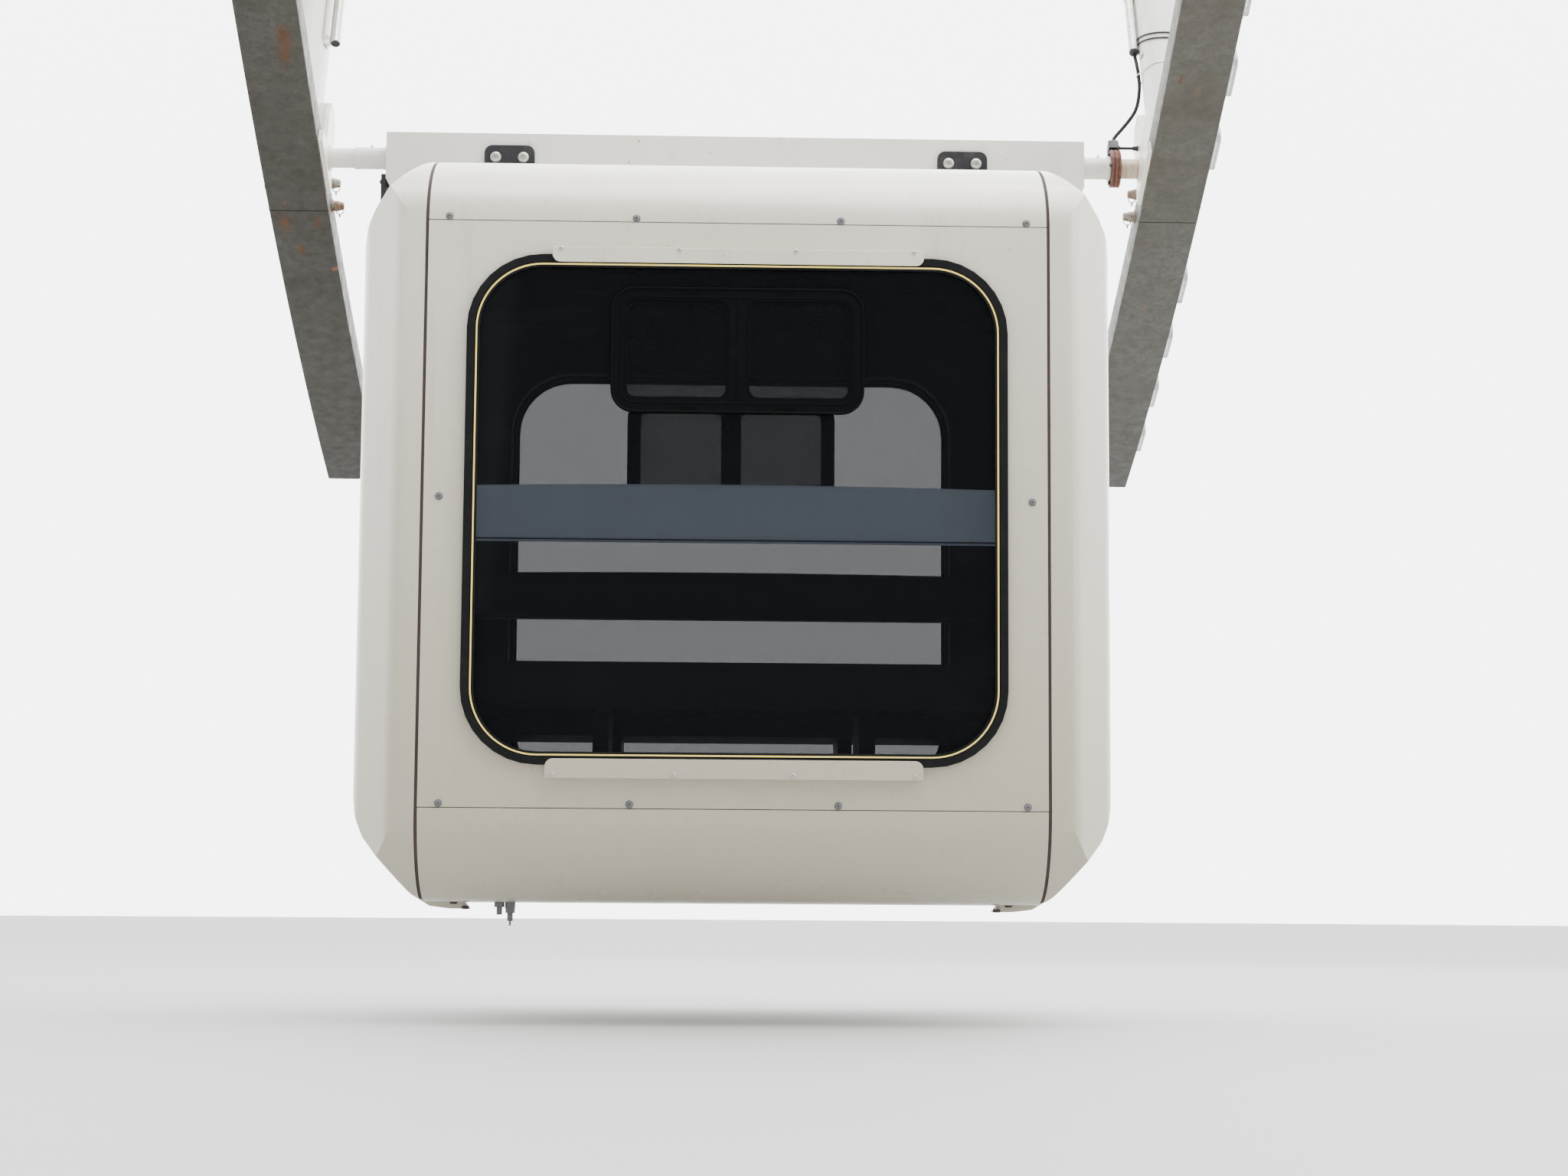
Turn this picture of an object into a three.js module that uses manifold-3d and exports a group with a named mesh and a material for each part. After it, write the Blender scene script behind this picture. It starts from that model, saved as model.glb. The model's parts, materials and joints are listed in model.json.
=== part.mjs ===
// Ferris wheel gondola in its bay of the wheel: one enclosed cabin with a window in each end,
// hung by a cross beam and two stub shafts between the two rims, with the rims' splices,
// the spokes that end there, and the slip ring that feeds the cabin.
// Millimetres, +Z up. X runs along the wheel's axle, Y along the wheel's turning direction.

import * as THREE from 'three';
import { mergeVertices } from 'three/addons/utils/BufferGeometryUtils.js';
import Module from 'manifold-3d';

const wasm = await Module();
wasm.setup();

// Clearance between neighbouring pieces that touch on the real wheel
const SEAT = 0.3;

// The wheel: radius to the cabin axles, angle of one bay, and how far this bay has turned
const WHEEL_RADIUS = 10410;
const BAY_ANGLE = THREE.MathUtils.degToRad(18);
const BAY_TURN = THREE.MathUtils.degToRad(-26.7);

// Rim girders, curved box section
const RIM_X = 1226;
const RIM_WIDTH = 167;
// How far the box section reaches from the axles' circle, toward the hub and away from it
const RIM_HUB_SIDE = 24;
const RIM_FAR_SIDE = 60;
const RIM_WALL = 8;
const SPLICE_FROM_AXLE = 156;
const SPLICE_GAP = 3;
const SPIGOT_REACH = 160;
const PIN_RADIUS = 12;
const PIN_FROM_SPLICE = 49;
const PIN_STICKS_OUT = 34;
const PIN_HEAD = { radius: 20, thick: 10 };

// Spokes
const SPOKE_RADIUS = 65;
const SPOKE_REACH = 2000;
// How far the rim's hub side rises under the spoke's foot plate
const RIM_CROWN = 0.6;
const SPOKE_FOOT = { width: 160, length: 220, thick: 14 };
const HUB_FLANGE = { radius: 120, thick: 18, bolts: 6, pitch: 95, hole: 9 };

// Node bracket and bearing at each end of the cabin's axle
const NODE_PLATE = 12;
// The plate's outline in millimetres along the rim and toward the hub
const NODE_OUTLINE = [[-125, -50], [91, -50], [91, -20], [62, 13], [62, 104], [35, 172],
  [-35, 172], [-62, 104], [-62, 13], [-125, -10]];
const BEARING = { radius: 34, inner: 1123 };
const SADDLE = { half: 35, low: 66, high: 172 };

// Axle, cross beam, slip ring
const SHAFT = { radius: 30, shoulder: 1045, endRadius: 27, end: 1138 };
const BEAM = { half: 965, low: -98, high: 60, depth: 120, cornerRun: 15, cornerRise: 28 };
const SLIP_RING = { radius: 52.5, from: 1045.5, to: 1071 };
const SLIP_GROOVE = { margin: 7, depth: 5 };
const SHAFT_COLLAR = { radius: 34, thick: 8 };
const BRUSH = { gap: 0.5, overhang: 2, halfWidth: 22, height: 38 };
const BRUSH_ROD = { radius: 4, fromAxle: 77 };

// Hanger brackets between beam and roof
const HANGER = { x: 625, width: 138, top: 24, thick: 10, corner: 22, hole: 24, holeZ: -48 };
const HANGER_FOOT = { reach: 70, thick: 9, overlap: 1 };

// Cabin
const CABIN = { halfWidth: 943, halfLength: 780, top: -130, bottom: -2050, wall: 25 };
const SEAM_X = 775;
const TOP_SEAM = -362;
const LOW_SEAM = -1822;
const GROOVE = { width: 8, depth: 8 };
const LAP_GROOVE = { width: 2.4, depth: 4 };

// End windows
const WINDOW = { z: -1083, width: 1343, height: 1268, corner: 188 };
const SEAL_LIP = { width: 32, front: 14, back: 6 };
const SEAL_SPIGOT = { outer: 14, inner: 24, shortOfWall: 2 };
const LIGHT_GROOVE = { inset: 19, width: 9, depth: 5 };
const GLASS_THICK = 8;
const VENT = { z: -687, width: 629, height: 316, corner: 58, border: 33, mullion: 44, paneCorner: 26 };

// Side doors
const DOOR = { halfWidth: 345, low: -1760, high: -435, corner: 60, clear: 5 };
const DOOR_LAP = { reach: 15, thick: 11, bridge: 1 };
const DOOR_WINDOW = { width: 470, low: -1180, high: -520, corner: 70, glassFromOutside: 18 };

// Inside
const LINING = { thick: 4, doorEdge: 18, windowEdge: 8 };
const FLOOR_TOP = -1985;
const SEAT_TOP = -1459;
const BENCH = { near: 380, far: 735, slab: 116, upright: 55, railThick: 40 };
const BENCH_LEG = { x: 330, width: 40, front: 30, back: 40 };
const FRONT_RAIL = { low: -1156, high: -1028 };
const REAR_RAIL = { low: -1206, high: -1075 };

// Conduits on the spokes, and the cable that hangs from the right one to the slip ring.
// The cable's points are in the axle's frame with Z straight up.
const CONDUIT = { radius: 14, low: 445, high: 1900 };
const THIN_CONDUIT = { radius: 9.5, low: 416, high: 1900, turn: THREE.MathUtils.degToRad(36) };
const CABLE_RADIUS = 5;
const CABLE_ROUTE = [
  [1146.7, 199.7, 397], [1147.9, 191.2, 381.3], [1149.4, 182.8, 365.5], [1150.7, 174.5, 349.7],
  [1151.8, 166.2, 333.8], [1152.4, 158.2, 317.8], [1152.6, 150.4, 301.7], [1152.3, 142.8, 285.4],
  [1151, 135.6, 269.1], [1148.9, 128.7, 252.7], [1145.9, 121.9, 236.4], [1142.1, 115.2, 220.2],
  [1137, 108.6, 204.4], [1129.9, 102, 189.3], [1121.1, 95.5, 175.1], [1111.4, 89.1, 161.5],
  [1101.3, 82.6, 148.2], [1091.1, 75.5, 135.2], [1080.8, 68.1, 122.5], [1071, 59.9, 110],
  [1063.2, 50.3, 97.1], [1060, 41.3, 82.1],
];

// Lamps on the right rim's outer side, each row from its first lamp to its last, counted from the axle
const LAMP = { length: 148, height: 70, depth: 22, pitch: 289 };
const LAMP_RAIL = { thick: 3, height: 40, margin: 20 };
const UPPER_LAMPS = { first: -1538, last: -93 };
const LOWER_LAMPS = { first: 515, last: 1382 };

// Colours
function paint(color, roughness, metalness = 0) {
  return new THREE.MeshStandardMaterial({ color, roughness, metalness });
}
const WHITE = paint(0xe8e6de, 0.35);
const BEAM_WHITE = paint(0xe4e1d8, 0.4);
const GALVANISED = paint(0x6b665c, 0.7, 0.5);
const STEEL = paint(0x9a9a96, 0.4, 0.8);
const RUSTY = paint(0x8a5548, 0.8, 0.3);
const BLACK = paint(0x17171a, 0.5);
const RUBBER = paint(0x0e0e10, 0.8);
const TINTED = paint(0x1a1d22, 0.08);
TINTED.transparent = true;
TINTED.opacity = 0.55;
const SEATING = paint(0x2b2d33, 0.7);
const FLOORING = paint(0x4a4c4f, 0.8);
const LENS = paint(0xdde0e2, 0.2);

// Solids from three.js geometries
function solid(geometry) {
  const bare = geometry.clone();
  bare.deleteAttribute('normal');
  bare.deleteAttribute('uv');
  const merged = mergeVertices(bare);
  return new wasm.Manifold(new wasm.Mesh({
    numProp: 3,
    vertProperties: new Float32Array(merged.attributes.position.array),
    triVerts: new Uint32Array(merged.index.array),
  }));
}

function geometryOf(body) {
  const mesh = body.getMesh();
  const geometry = new THREE.BufferGeometry();
  geometry.setAttribute('position', new THREE.BufferAttribute(new Float32Array(mesh.vertProperties), 3));
  geometry.setIndex(new THREE.BufferAttribute(new Uint32Array(mesh.triVerts), 1));
  geometry.computeVertexNormals();
  return geometry;
}

function box(x0, x1, y0, y1, z0, z1) {
  const geometry = new THREE.BoxGeometry(x1 - x0, y1 - y0, z1 - z0);
  return solid(geometry.translate((x0 + x1) / 2, (y0 + y1) / 2, (z0 + z1) / 2));
}

// Extrusions of an outline along one axis. The outline's two numbers are the other two axes in X, Y, Z order.
const ALONG_X = new THREE.Matrix4().makeBasis(
  new THREE.Vector3(0, 1, 0), new THREE.Vector3(0, 0, 1), new THREE.Vector3(1, 0, 0));
const ALONG_Y = new THREE.Matrix4().makeBasis(
  new THREE.Vector3(1, 0, 0), new THREE.Vector3(0, 0, 1), new THREE.Vector3(0, -1, 0));

function extrude(shape, from, to, segments = 4) {
  const options = { depth: to - from, bevelEnabled: false, curveSegments: segments };
  const geometry = new THREE.ExtrudeGeometry(shape, options);
  return geometry.translate(0, 0, from);
}

function alongX(shape, from, to, segments) {
  return solid(extrude(shape, from, to, segments).applyMatrix4(ALONG_X));
}

function alongY(shape, from, to, segments) {
  return solid(extrude(shape, -to, -from, segments).applyMatrix4(ALONG_Y));
}

function alongZ(shape, from, to, segments) {
  return solid(extrude(shape, from, to, segments));
}

function roundedRect(width, height, corner, cx = 0, cy = 0) {
  const [x0, x1, y0, y1] = [cx - width / 2, cx + width / 2, cy - height / 2, cy + height / 2];
  const shape = new THREE.Shape();
  shape.moveTo(x0 + corner, y0);
  shape.lineTo(x1 - corner, y0);
  shape.absarc(x1 - corner, y0 + corner, corner, -Math.PI / 2, 0);
  shape.lineTo(x1, y1 - corner);
  shape.absarc(x1 - corner, y1 - corner, corner, 0, Math.PI / 2);
  shape.lineTo(x0 + corner, y1);
  shape.absarc(x0 + corner, y1 - corner, corner, Math.PI / 2, Math.PI);
  shape.lineTo(x0, y0 + corner);
  shape.absarc(x0 + corner, y0 + corner, corner, Math.PI, 1.5 * Math.PI);
  return shape;
}

function circle(radius, cx = 0, cy = 0) {
  const shape = new THREE.Shape();
  shape.absarc(cx, cy, radius, 0, 2 * Math.PI);
  return shape;
}

const mirrorX = (body) => body.scale([-1, 1, 1]);
const mirrorY = (body) => body.scale([1, -1, 1]);

function place(group, name, body, material) {
  const mesh = new THREE.Mesh(geometryOf(body), material);
  mesh.name = name;
  group.add(mesh);
}

// Cabin outlines, each a convex loop that runs anticlockwise
function ellipseCorner(cx, cy, rx, ry, from, steps = 6) {
  const points = [];
  for (let i = 0; i <= steps; i++) {
    const angle = from + (i / steps) * (Math.PI / 2);
    points.push(new THREE.Vector2(cx + rx * Math.cos(angle), cy + ry * Math.sin(angle)));
  }
  return points;
}

const ROOF_CURVE = { run: 420, rise: CABIN.top - TOP_SEAM };
const SKIRT_CURVE = { run: 240, rise: LOW_SEAM - CABIN.bottom };
const roofY = CABIN.halfLength - ROOF_CURVE.run;
const skirtY = CABIN.halfLength - SKIRT_CURVE.run;

const sideOutline = [
  ...ellipseCorner(roofY, TOP_SEAM, ROOF_CURVE.run, ROOF_CURVE.rise, 0),
  ...ellipseCorner(-roofY, TOP_SEAM, ROOF_CURVE.run, ROOF_CURVE.rise, Math.PI / 2),
  ...ellipseCorner(-skirtY, LOW_SEAM, SKIRT_CURVE.run, SKIRT_CURVE.rise, Math.PI),
  ...ellipseCorner(skirtY, LOW_SEAM, SKIRT_CURVE.run, SKIRT_CURVE.rise, 1.5 * Math.PI),
];

const halfEnd = [[782, CABIN.bottom], [912, -1893], [933, -1845], [CABIN.halfWidth, -1780],
  [CABIN.halfWidth, -410], [935, -360], [914, -318], [765, CABIN.top]];
const otherHalf = halfEnd.map(([x, z]) => [-x, z]).reverse();
const endOutline = [...halfEnd, ...otherHalf].map(([x, z]) => new THREE.Vector2(x, z));

const CORNER_BEVEL = { side: 110, end: 105 };
const bevelY = CABIN.halfLength - CORNER_BEVEL.side;
const bevelX = CABIN.halfWidth - CORNER_BEVEL.end;
const planOutline = [[CABIN.halfWidth, -bevelY], [CABIN.halfWidth, bevelY], [bevelX, CABIN.halfLength],
  [-bevelX, CABIN.halfLength], [-CABIN.halfWidth, bevelY], [-CABIN.halfWidth, -bevelY],
  [-bevelX, -CABIN.halfLength], [bevelX, -CABIN.halfLength]].map(([x, y]) => new THREE.Vector2(x, y));

// Each edge moved inward by the same distance and met with the next
function inset(loop, distance) {
  const lines = loop.map((point, i) => {
    const next = loop[(i + 1) % loop.length];
    const along = next.clone().sub(point).normalize();
    return { along, point: point.clone().add(new THREE.Vector2(-along.y, along.x).multiplyScalar(distance)) };
  });
  return loop.map((_, i) => {
    const [a, b] = [lines[(i + loop.length - 1) % loop.length], lines[i]];
    const cross = a.along.cross(b.along);
    if (Math.abs(cross) < 1e-6) return b.point;
    const t = b.point.clone().sub(a.point).cross(b.along) / cross;
    return a.point.clone().addScaledVector(a.along, t);
  });
}

// Longer than any piece, for cutters
const FAR = 3000;

function cabinSolid(distance) {
  const outlines = [endOutline, sideOutline, planOutline];
  const [end, side, plan] = outlines.map((loop) => new THREE.Shape(inset(loop, distance)));
  return alongX(side, -FAR, FAR).intersect(alongY(end, -FAR, FAR)).intersect(alongZ(plan, -FAR, FAR));
}

const cabinOuter = cabinSolid(0);
const cabinInner = cabinSolid(CABIN.wall);

// Grooves that mark the seams on the outside: wide ones beside the mouldings, fine ones at the laps
function seamGrooves() {
  const bandHalf = GROOVE.width / 2;
  const deep = cabinSolid(GROOVE.depth);
  const fine = cabinSolid(LAP_GROOVE.depth);
  const bands = box(SEAM_X - bandHalf, SEAM_X + bandHalf, -FAR, FAR, -FAR, FAR)
    .add(box(-SEAM_X - bandHalf, -SEAM_X + bandHalf, -FAR, FAR, -FAR, FAR));
  const lapHalf = LAP_GROOVE.width / 2;
  const laps = [TOP_SEAM, LOW_SEAM].map((z) => box(-SEAM_X, SEAM_X, -FAR, FAR, z - lapHalf, z + lapHalf));
  return bands.subtract(deep).add(laps[0].add(laps[1]).subtract(fine));
}

const shell = cabinOuter.subtract(cabinInner).subtract(seamGrooves());
const halfSeat = SEAT / 2;
const centreSlab = (z0, z1, y1 = FAR) => box(-SEAM_X + halfSeat, SEAM_X - halfSeat, -FAR, y1, z0, z1);

const windowInset = (distance) => roundedRect(
  WINDOW.width - 2 * distance, WINDOW.height - 2 * distance, WINDOW.corner - distance, 0, WINDOW.z);

// The centre strip of the shell: a flat panel in each end, the roof over them and the belly below
function endPanel() {
  const strip = shell.intersect(centreSlab(LOW_SEAM + halfSeat, TOP_SEAM - halfSeat, 0));
  return strip.subtract(alongY(windowInset(SEAL_SPIGOT.outer), -FAR, 0));
}
const roofSkin = () => shell.intersect(centreSlab(TOP_SEAM + halfSeat, FAR));
const bellySkin = () => shell.intersect(centreSlab(-FAR, LOW_SEAM - halfSeat));

// The side shell carries the bevelled corner mouldings at both ends and has the doorway
function sideShell() {
  const wall = shell.intersect(box(SEAM_X + halfSeat, FAR, -FAR, FAR, -FAR, FAR));
  return wall.subtract(doorBlank(0, 0, FAR));
}

function doorBlank(grow, from, to) {
  const { halfWidth, low, high, corner } = DOOR;
  const [width, height] = [2 * (halfWidth + grow), high - low + 2 * grow];
  return alongX(roundedRect(width, height, corner + grow, 0, (high + low) / 2), from, to);
}

function doorWindow(grow, from, to) {
  const { width, low, high, corner } = DOOR_WINDOW;
  const outline = roundedRect(width + 2 * grow, high - low + 2 * grow, corner + grow, 0, (high + low) / 2);
  return alongX(outline, from, to);
}

function door() {
  const inside = CABIN.halfWidth - CABIN.wall - SEAT;
  const leaf = doorBlank(-DOOR.clear, inside - DOOR_LAP.bridge, CABIN.halfWidth);
  const lap = doorBlank(DOOR_LAP.reach, inside - DOOR_LAP.thick, inside);
  return leaf.add(lap).subtract(doorWindow(0, 0, FAR));
}

function doorGlass() {
  const from = CABIN.halfWidth - DOOR_WINDOW.glassFromOutside;
  return doorWindow(-SEAT, from, from + GLASS_THICK);
}

// Window seal: a lip on the panel with the light's groove, and a spigot in the opening that holds the glass
function windowSeal() {
  const face = -CABIN.halfLength;
  const lipFront = face - SEAL_LIP.front;
  const spigotBack = face + CABIN.wall - SEAL_SPIGOT.shortOfWall;
  const lip = alongY(windowInset(0), lipFront, face - SEAT)
    .subtract(alongY(windowInset(SEAL_LIP.width), -FAR, 0));
  const spigot = alongY(windowInset(SEAL_SPIGOT.outer + SEAT), face - SEAL_LIP.back, spigotBack);
  const lightInner = LIGHT_GROOVE.inset + LIGHT_GROOVE.width;
  const groove = alongY(windowInset(LIGHT_GROOVE.inset), -FAR, lipFront + LIGHT_GROOVE.depth)
    .subtract(alongY(windowInset(lightInner), -FAR, 0));
  const glassRoom = alongY(windowInset(SEAL_SPIGOT.inner), face - SEAL_LIP.back, 0);
  return lip.add(spigot).subtract(groove).subtract(glassRoom);
}

const GLASS_FRONT = -CABIN.halfLength - SEAL_LIP.back + SEAT;
const endGlass = () => alongY(windowInset(SEAL_SPIGOT.inner + SEAT), GLASS_FRONT, GLASS_FRONT + GLASS_THICK);

function ventFrame() {
  const front = -CABIN.halfLength - SEAL_LIP.front;
  const back = GLASS_FRONT - SEAT;
  const paneWidth = (VENT.width - 2 * VENT.border - VENT.mullion) / 2;
  const paneHeight = VENT.height - 2 * VENT.border;
  const offset = (paneWidth + VENT.mullion) / 2;
  let frame = alongY(roundedRect(VENT.width, VENT.height, VENT.corner, 0, VENT.z), front, back);
  for (const side of [-1, 1]) {
    const pane = roundedRect(paneWidth, paneHeight, VENT.paneCorner, side * offset, VENT.z);
    frame = frame.subtract(alongY(pane, -FAR, 0));
  }
  return frame;
}

// Dark lining all over the skins' inner side, open at the windows and doors
const insideLining = cabinSolid(CABIN.wall + LINING.thick + 2 * SEAT);
function lining() {
  const outer = cabinSolid(CABIN.wall + SEAT);
  const inner = cabinSolid(CABIN.wall + SEAT + LINING.thick);
  const doorways = doorBlank(LINING.doorEdge, -FAR, FAR);
  const windows = alongY(windowInset(LINING.windowEdge), -FAR, FAR);
  return outer.subtract(inner).subtract(doorways).subtract(windows);
}

// Bench: seat, two leg panels on the floor, and a back rail carried at the walls
function bench({ low, high }) {
  const { near, far, slab, upright, railThick } = BENCH;
  const wide = CABIN.halfWidth;
  const overlap = 1;
  const postX = wide - CABIN.wall - LINING.thick - upright;
  const post = box(postX, wide, -far, -far + railThick, SEAT_TOP - overlap, low + overlap);
  const [legX0, legX1] = [BENCH_LEG.x - BENCH_LEG.width / 2, BENCH_LEG.x + BENCH_LEG.width / 2];
  const [legY0, legY1] = [-far + BENCH_LEG.back, -near - BENCH_LEG.front];
  const leg = box(legX0, legX1, legY0, legY1, FLOOR_TOP + SEAT, SEAT_TOP - overlap);
  const seat = box(-wide, wide, -far, -near, SEAT_TOP - slab, SEAT_TOP);
  const rail = box(-wide, wide, -far, -far + railThick, low, high);
  const body = seat.add(rail).add(post).add(mirrorX(post)).add(leg).add(mirrorX(leg));
  return body.intersect(insideLining);
}

const floor = () => insideLining.intersect(box(-FAR, FAR, -FAR, FAR, -FAR, FLOOR_TOP));

// Cross beam: lower end corners cut off
function crossBeam() {
  const { half: reach, low, high, depth, cornerRun, cornerRise } = BEAM;
  const [flat, shoulder] = [reach - cornerRun, low + cornerRise];
  const shape = new THREE.Shape([[-flat, low], [flat, low], [reach, shoulder],
    [reach, high], [-reach, high], [-reach, shoulder]].map(([x, z]) => new THREE.Vector2(x, z)));
  return alongY(shape, -depth / 2, depth / 2);
}

// Hanger: a plate on the beam's face with a foot on the roof
function hanger() {
  const { x, width, top, thick, corner, hole, holeZ } = HANGER;
  const back = -BEAM.depth / 2 - SEAT;
  const bottom = CABIN.top + SEAT;
  const shape = new THREE.Shape();
  shape.moveTo(x - width / 2, bottom);
  shape.lineTo(x + width / 2, bottom);
  shape.lineTo(x + width / 2, top - corner);
  shape.absarc(x + width / 2 - corner, top - corner, corner, 0, Math.PI / 2);
  shape.lineTo(x - width / 2 + corner, top);
  shape.absarc(x - width / 2 + corner, top - corner, corner, Math.PI / 2, Math.PI);
  shape.holes.push(new THREE.Path().absarc(x, holeZ, hole, 0, 2 * Math.PI));
  const plate = alongY(shape, back - thick, back, 6);
  const { reach, thick: footThick, overlap } = HANGER_FOOT;
  const inner = back - thick + overlap;
  return plate.add(box(x - width / 2, x + width / 2, back - reach, inner, bottom, bottom + footThick));
}

// Shaft: a collar at the beam's end, and a thinner end past the shoulder
function shaft() {
  const from = BEAM.half + SEAT;
  const collar = alongX(circle(SHAFT_COLLAR.radius), from, BEAM.half + SHAFT_COLLAR.thick, 12);
  const thick = alongX(circle(SHAFT.radius), from, SHAFT.shoulder, 16);
  return alongX(circle(SHAFT.endRadius), from, SHAFT.end, 16).add(thick).add(collar);
}

const shaftBore = alongX(circle(SHAFT.endRadius + SEAT), 0, FAR, 16);

function slipRing() {
  const { radius, from, to } = SLIP_RING;
  const { margin, depth } = SLIP_GROOVE;
  const groove = alongX(circle(radius + depth), from + margin, to - margin, 14)
    .subtract(alongX(circle(radius - depth), 0, FAR, 14));
  return alongX(circle(radius), from, to, 14).subtract(groove).subtract(shaftBore);
}

// Rim pieces, in the bay's own frame: axle at the origin, hub straight up at the wheel's radius.
// The outline's angle is counted from the axle along the rim, positive toward the bay's lower end.
const arcOf = (length) => length / WHEEL_RADIUS;
function ringSector(inner, outer, from, to) {
  const shape = new THREE.Shape();
  const start = from - Math.PI / 2;
  const end = to - Math.PI / 2;
  shape.absarc(0, WHEEL_RADIUS, outer, start, end);
  shape.absarc(0, WHEEL_RADIUS, inner, end, start, true);
  return shape;
}

function curvedBar(inner, outer, from, to, halfWidth) {
  return alongX(ringSector(inner, outer, from, to), RIM_X - halfWidth, RIM_X + halfWidth, 9);
}

const rimInner = WHEEL_RADIUS - RIM_HUB_SIDE;
const rimOuter = WHEEL_RADIUS + RIM_FAR_SIDE;
const pinArcs = [SPLICE_FROM_AXLE - PIN_FROM_SPLICE, SPLICE_FROM_AXLE + PIN_FROM_SPLICE];
const pinAxis = (length) => [
  WHEEL_RADIUS * Math.sin(arcOf(length)), WHEEL_RADIUS * (1 - Math.cos(arcOf(length)))];

function pinHoles(clearance) {
  const [upper, lower] = pinArcs.map((length) => circle(PIN_RADIUS + clearance, ...pinAxis(length)));
  return alongX(upper, 0, FAR, 8).add(alongX(lower, 0, FAR, 8));
}

function rim(from, to) {
  const girder = curvedBar(rimInner, rimOuter, from, to, RIM_WIDTH / 2);
  const beyond = arcOf(100);
  const inside = RIM_WIDTH / 2 - RIM_WALL;
  const hollow = curvedBar(rimInner + RIM_WALL, rimOuter - RIM_WALL, from - beyond, to + beyond, inside);
  return girder.subtract(hollow).subtract(pinHoles(SEAT));
}
const rimUpper = () => rim(-BAY_ANGLE / 2, arcOf(SPLICE_FROM_AXLE - SPLICE_GAP / 2));
const rimLower = () => rim(arcOf(SPLICE_FROM_AXLE + SPLICE_GAP / 2), BAY_ANGLE / 2);

function spigot() {
  const [from, to] = [SPLICE_FROM_AXLE - SPIGOT_REACH, SPLICE_FROM_AXLE + SPIGOT_REACH].map(arcOf);
  const skin = RIM_WALL + SEAT;
  return curvedBar(rimInner + skin, rimOuter - skin, from, to, RIM_WIDTH / 2 - skin).subtract(pinHoles(SEAT));
}

function splicePin(length) {
  const centre = pinAxis(length);
  const inner = RIM_X - RIM_WIDTH / 2 - PIN_STICKS_OUT;
  const outer = RIM_X + RIM_WIDTH / 2;
  const head = alongX(circle(PIN_HEAD.radius, ...centre), outer + SEAT, outer + PIN_HEAD.thick, 8);
  return alongX(circle(PIN_RADIUS, ...centre), inner, outer + PIN_HEAD.thick / 2, 8).add(head);
}

function nodeBracket() {
  const rimFace = RIM_X - RIM_WIDTH / 2 - SEAT;
  const plateFace = rimFace - NODE_PLATE;
  const outline = new THREE.Shape(NODE_OUTLINE.map(([y, z]) => new THREE.Vector2(y, z)));
  const plate = alongX(outline, plateFace, rimFace);
  const bearing = alongX(circle(BEARING.radius), BEARING.inner, rimFace, 12);
  const saddle = box(plateFace, RIM_X, -SADDLE.half, SADDLE.half, SADDLE.low, SADDLE.high)
    .subtract(alongZ(circle(SPOKE_RADIUS + SEAT, RIM_X, 0), 0, FAR, 12));
  return plate.add(bearing).add(saddle).subtract(shaftBore);
}

function spoke() {
  const foot = RIM_HUB_SIDE + RIM_CROWN + SEAT;
  const tube = alongZ(circle(SPOKE_RADIUS, RIM_X, 0), foot, SPOKE_REACH, 12);
  const { width, length, thick } = SPOKE_FOOT;
  const plate = box(RIM_X - width / 2, RIM_X + width / 2, -length / 2, length / 2, foot, foot + thick);
  const { radius, bolts, pitch, hole } = HUB_FLANGE;
  let flange = alongZ(circle(radius, RIM_X, 0), SPOKE_REACH - HUB_FLANGE.thick, SPOKE_REACH, 16);
  for (let i = 0; i < bolts; i++) {
    const angle = (i / bolts) * 2 * Math.PI;
    const bolt = circle(hole, RIM_X + pitch * Math.cos(angle), pitch * Math.sin(angle));
    flange = flange.subtract(alongZ(bolt, 0, FAR, 4));
  }
  return tube.add(plate).add(flange);
}

// A row of lamps on one thin rail, following the rim's outer side
function lampRow({ first, last }) {
  const { length, height, depth, pitch } = LAMP;
  const { thick: rail, height: railHeight, margin } = LAMP_RAIL;
  const face = RIM_X + RIM_WIDTH / 2 + SEAT;
  const past = length / 2 + margin;
  const [low, high] = [WHEEL_RADIUS - railHeight / 2, WHEEL_RADIUS + railHeight / 2];
  let row = alongX(ringSector(low, high, arcOf(first - past), arcOf(last + past)), face, face + rail, 6);
  for (let place = first; place <= last; place += pitch) {
    const lamp = new THREE.BoxGeometry(depth, length, height);
    lamp.translate(face + depth / 2, 0, -WHEEL_RADIUS);
    lamp.rotateX(arcOf(place));
    lamp.translate(0, 0, WHEEL_RADIUS);
    row = row.add(solid(lamp));
  }
  return row;
}

// Brush holder over the slip ring, on a rod from the node bracket
function brushHolder() {
  const back = RIM_X - RIM_WIDTH / 2 - NODE_PLATE - 2 * SEAT;
  const low = SLIP_RING.radius + BRUSH.gap;
  const [from, to] = [SLIP_RING.from - BRUSH.overhang, SLIP_RING.to + BRUSH.overhang];
  const head = box(from, to, -BRUSH.halfWidth, BRUSH.halfWidth, low, low + BRUSH.height);
  return head.add(alongX(circle(BRUSH_ROD.radius, 0, BRUSH_ROD.fromAxle), SLIP_RING.to, back, 4));
}

// Conduit clipped along a spoke's inner side
const conduitX = RIM_X - SPOKE_RADIUS - SEAT - CONDUIT.radius;
const conduit = () => alongZ(circle(CONDUIT.radius, conduitX, 0), CONDUIT.low, CONDUIT.high, 6);

// Thin conduit on the spoke's wall, turned toward the front from the thick one
function thinConduit() {
  const { radius, low, high, turn } = THIN_CONDUIT;
  const reach = SPOKE_RADIUS + SEAT + radius;
  return alongZ(circle(radius, RIM_X - reach * Math.cos(turn), -reach * Math.sin(turn)), low, high, 6);
}

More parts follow.
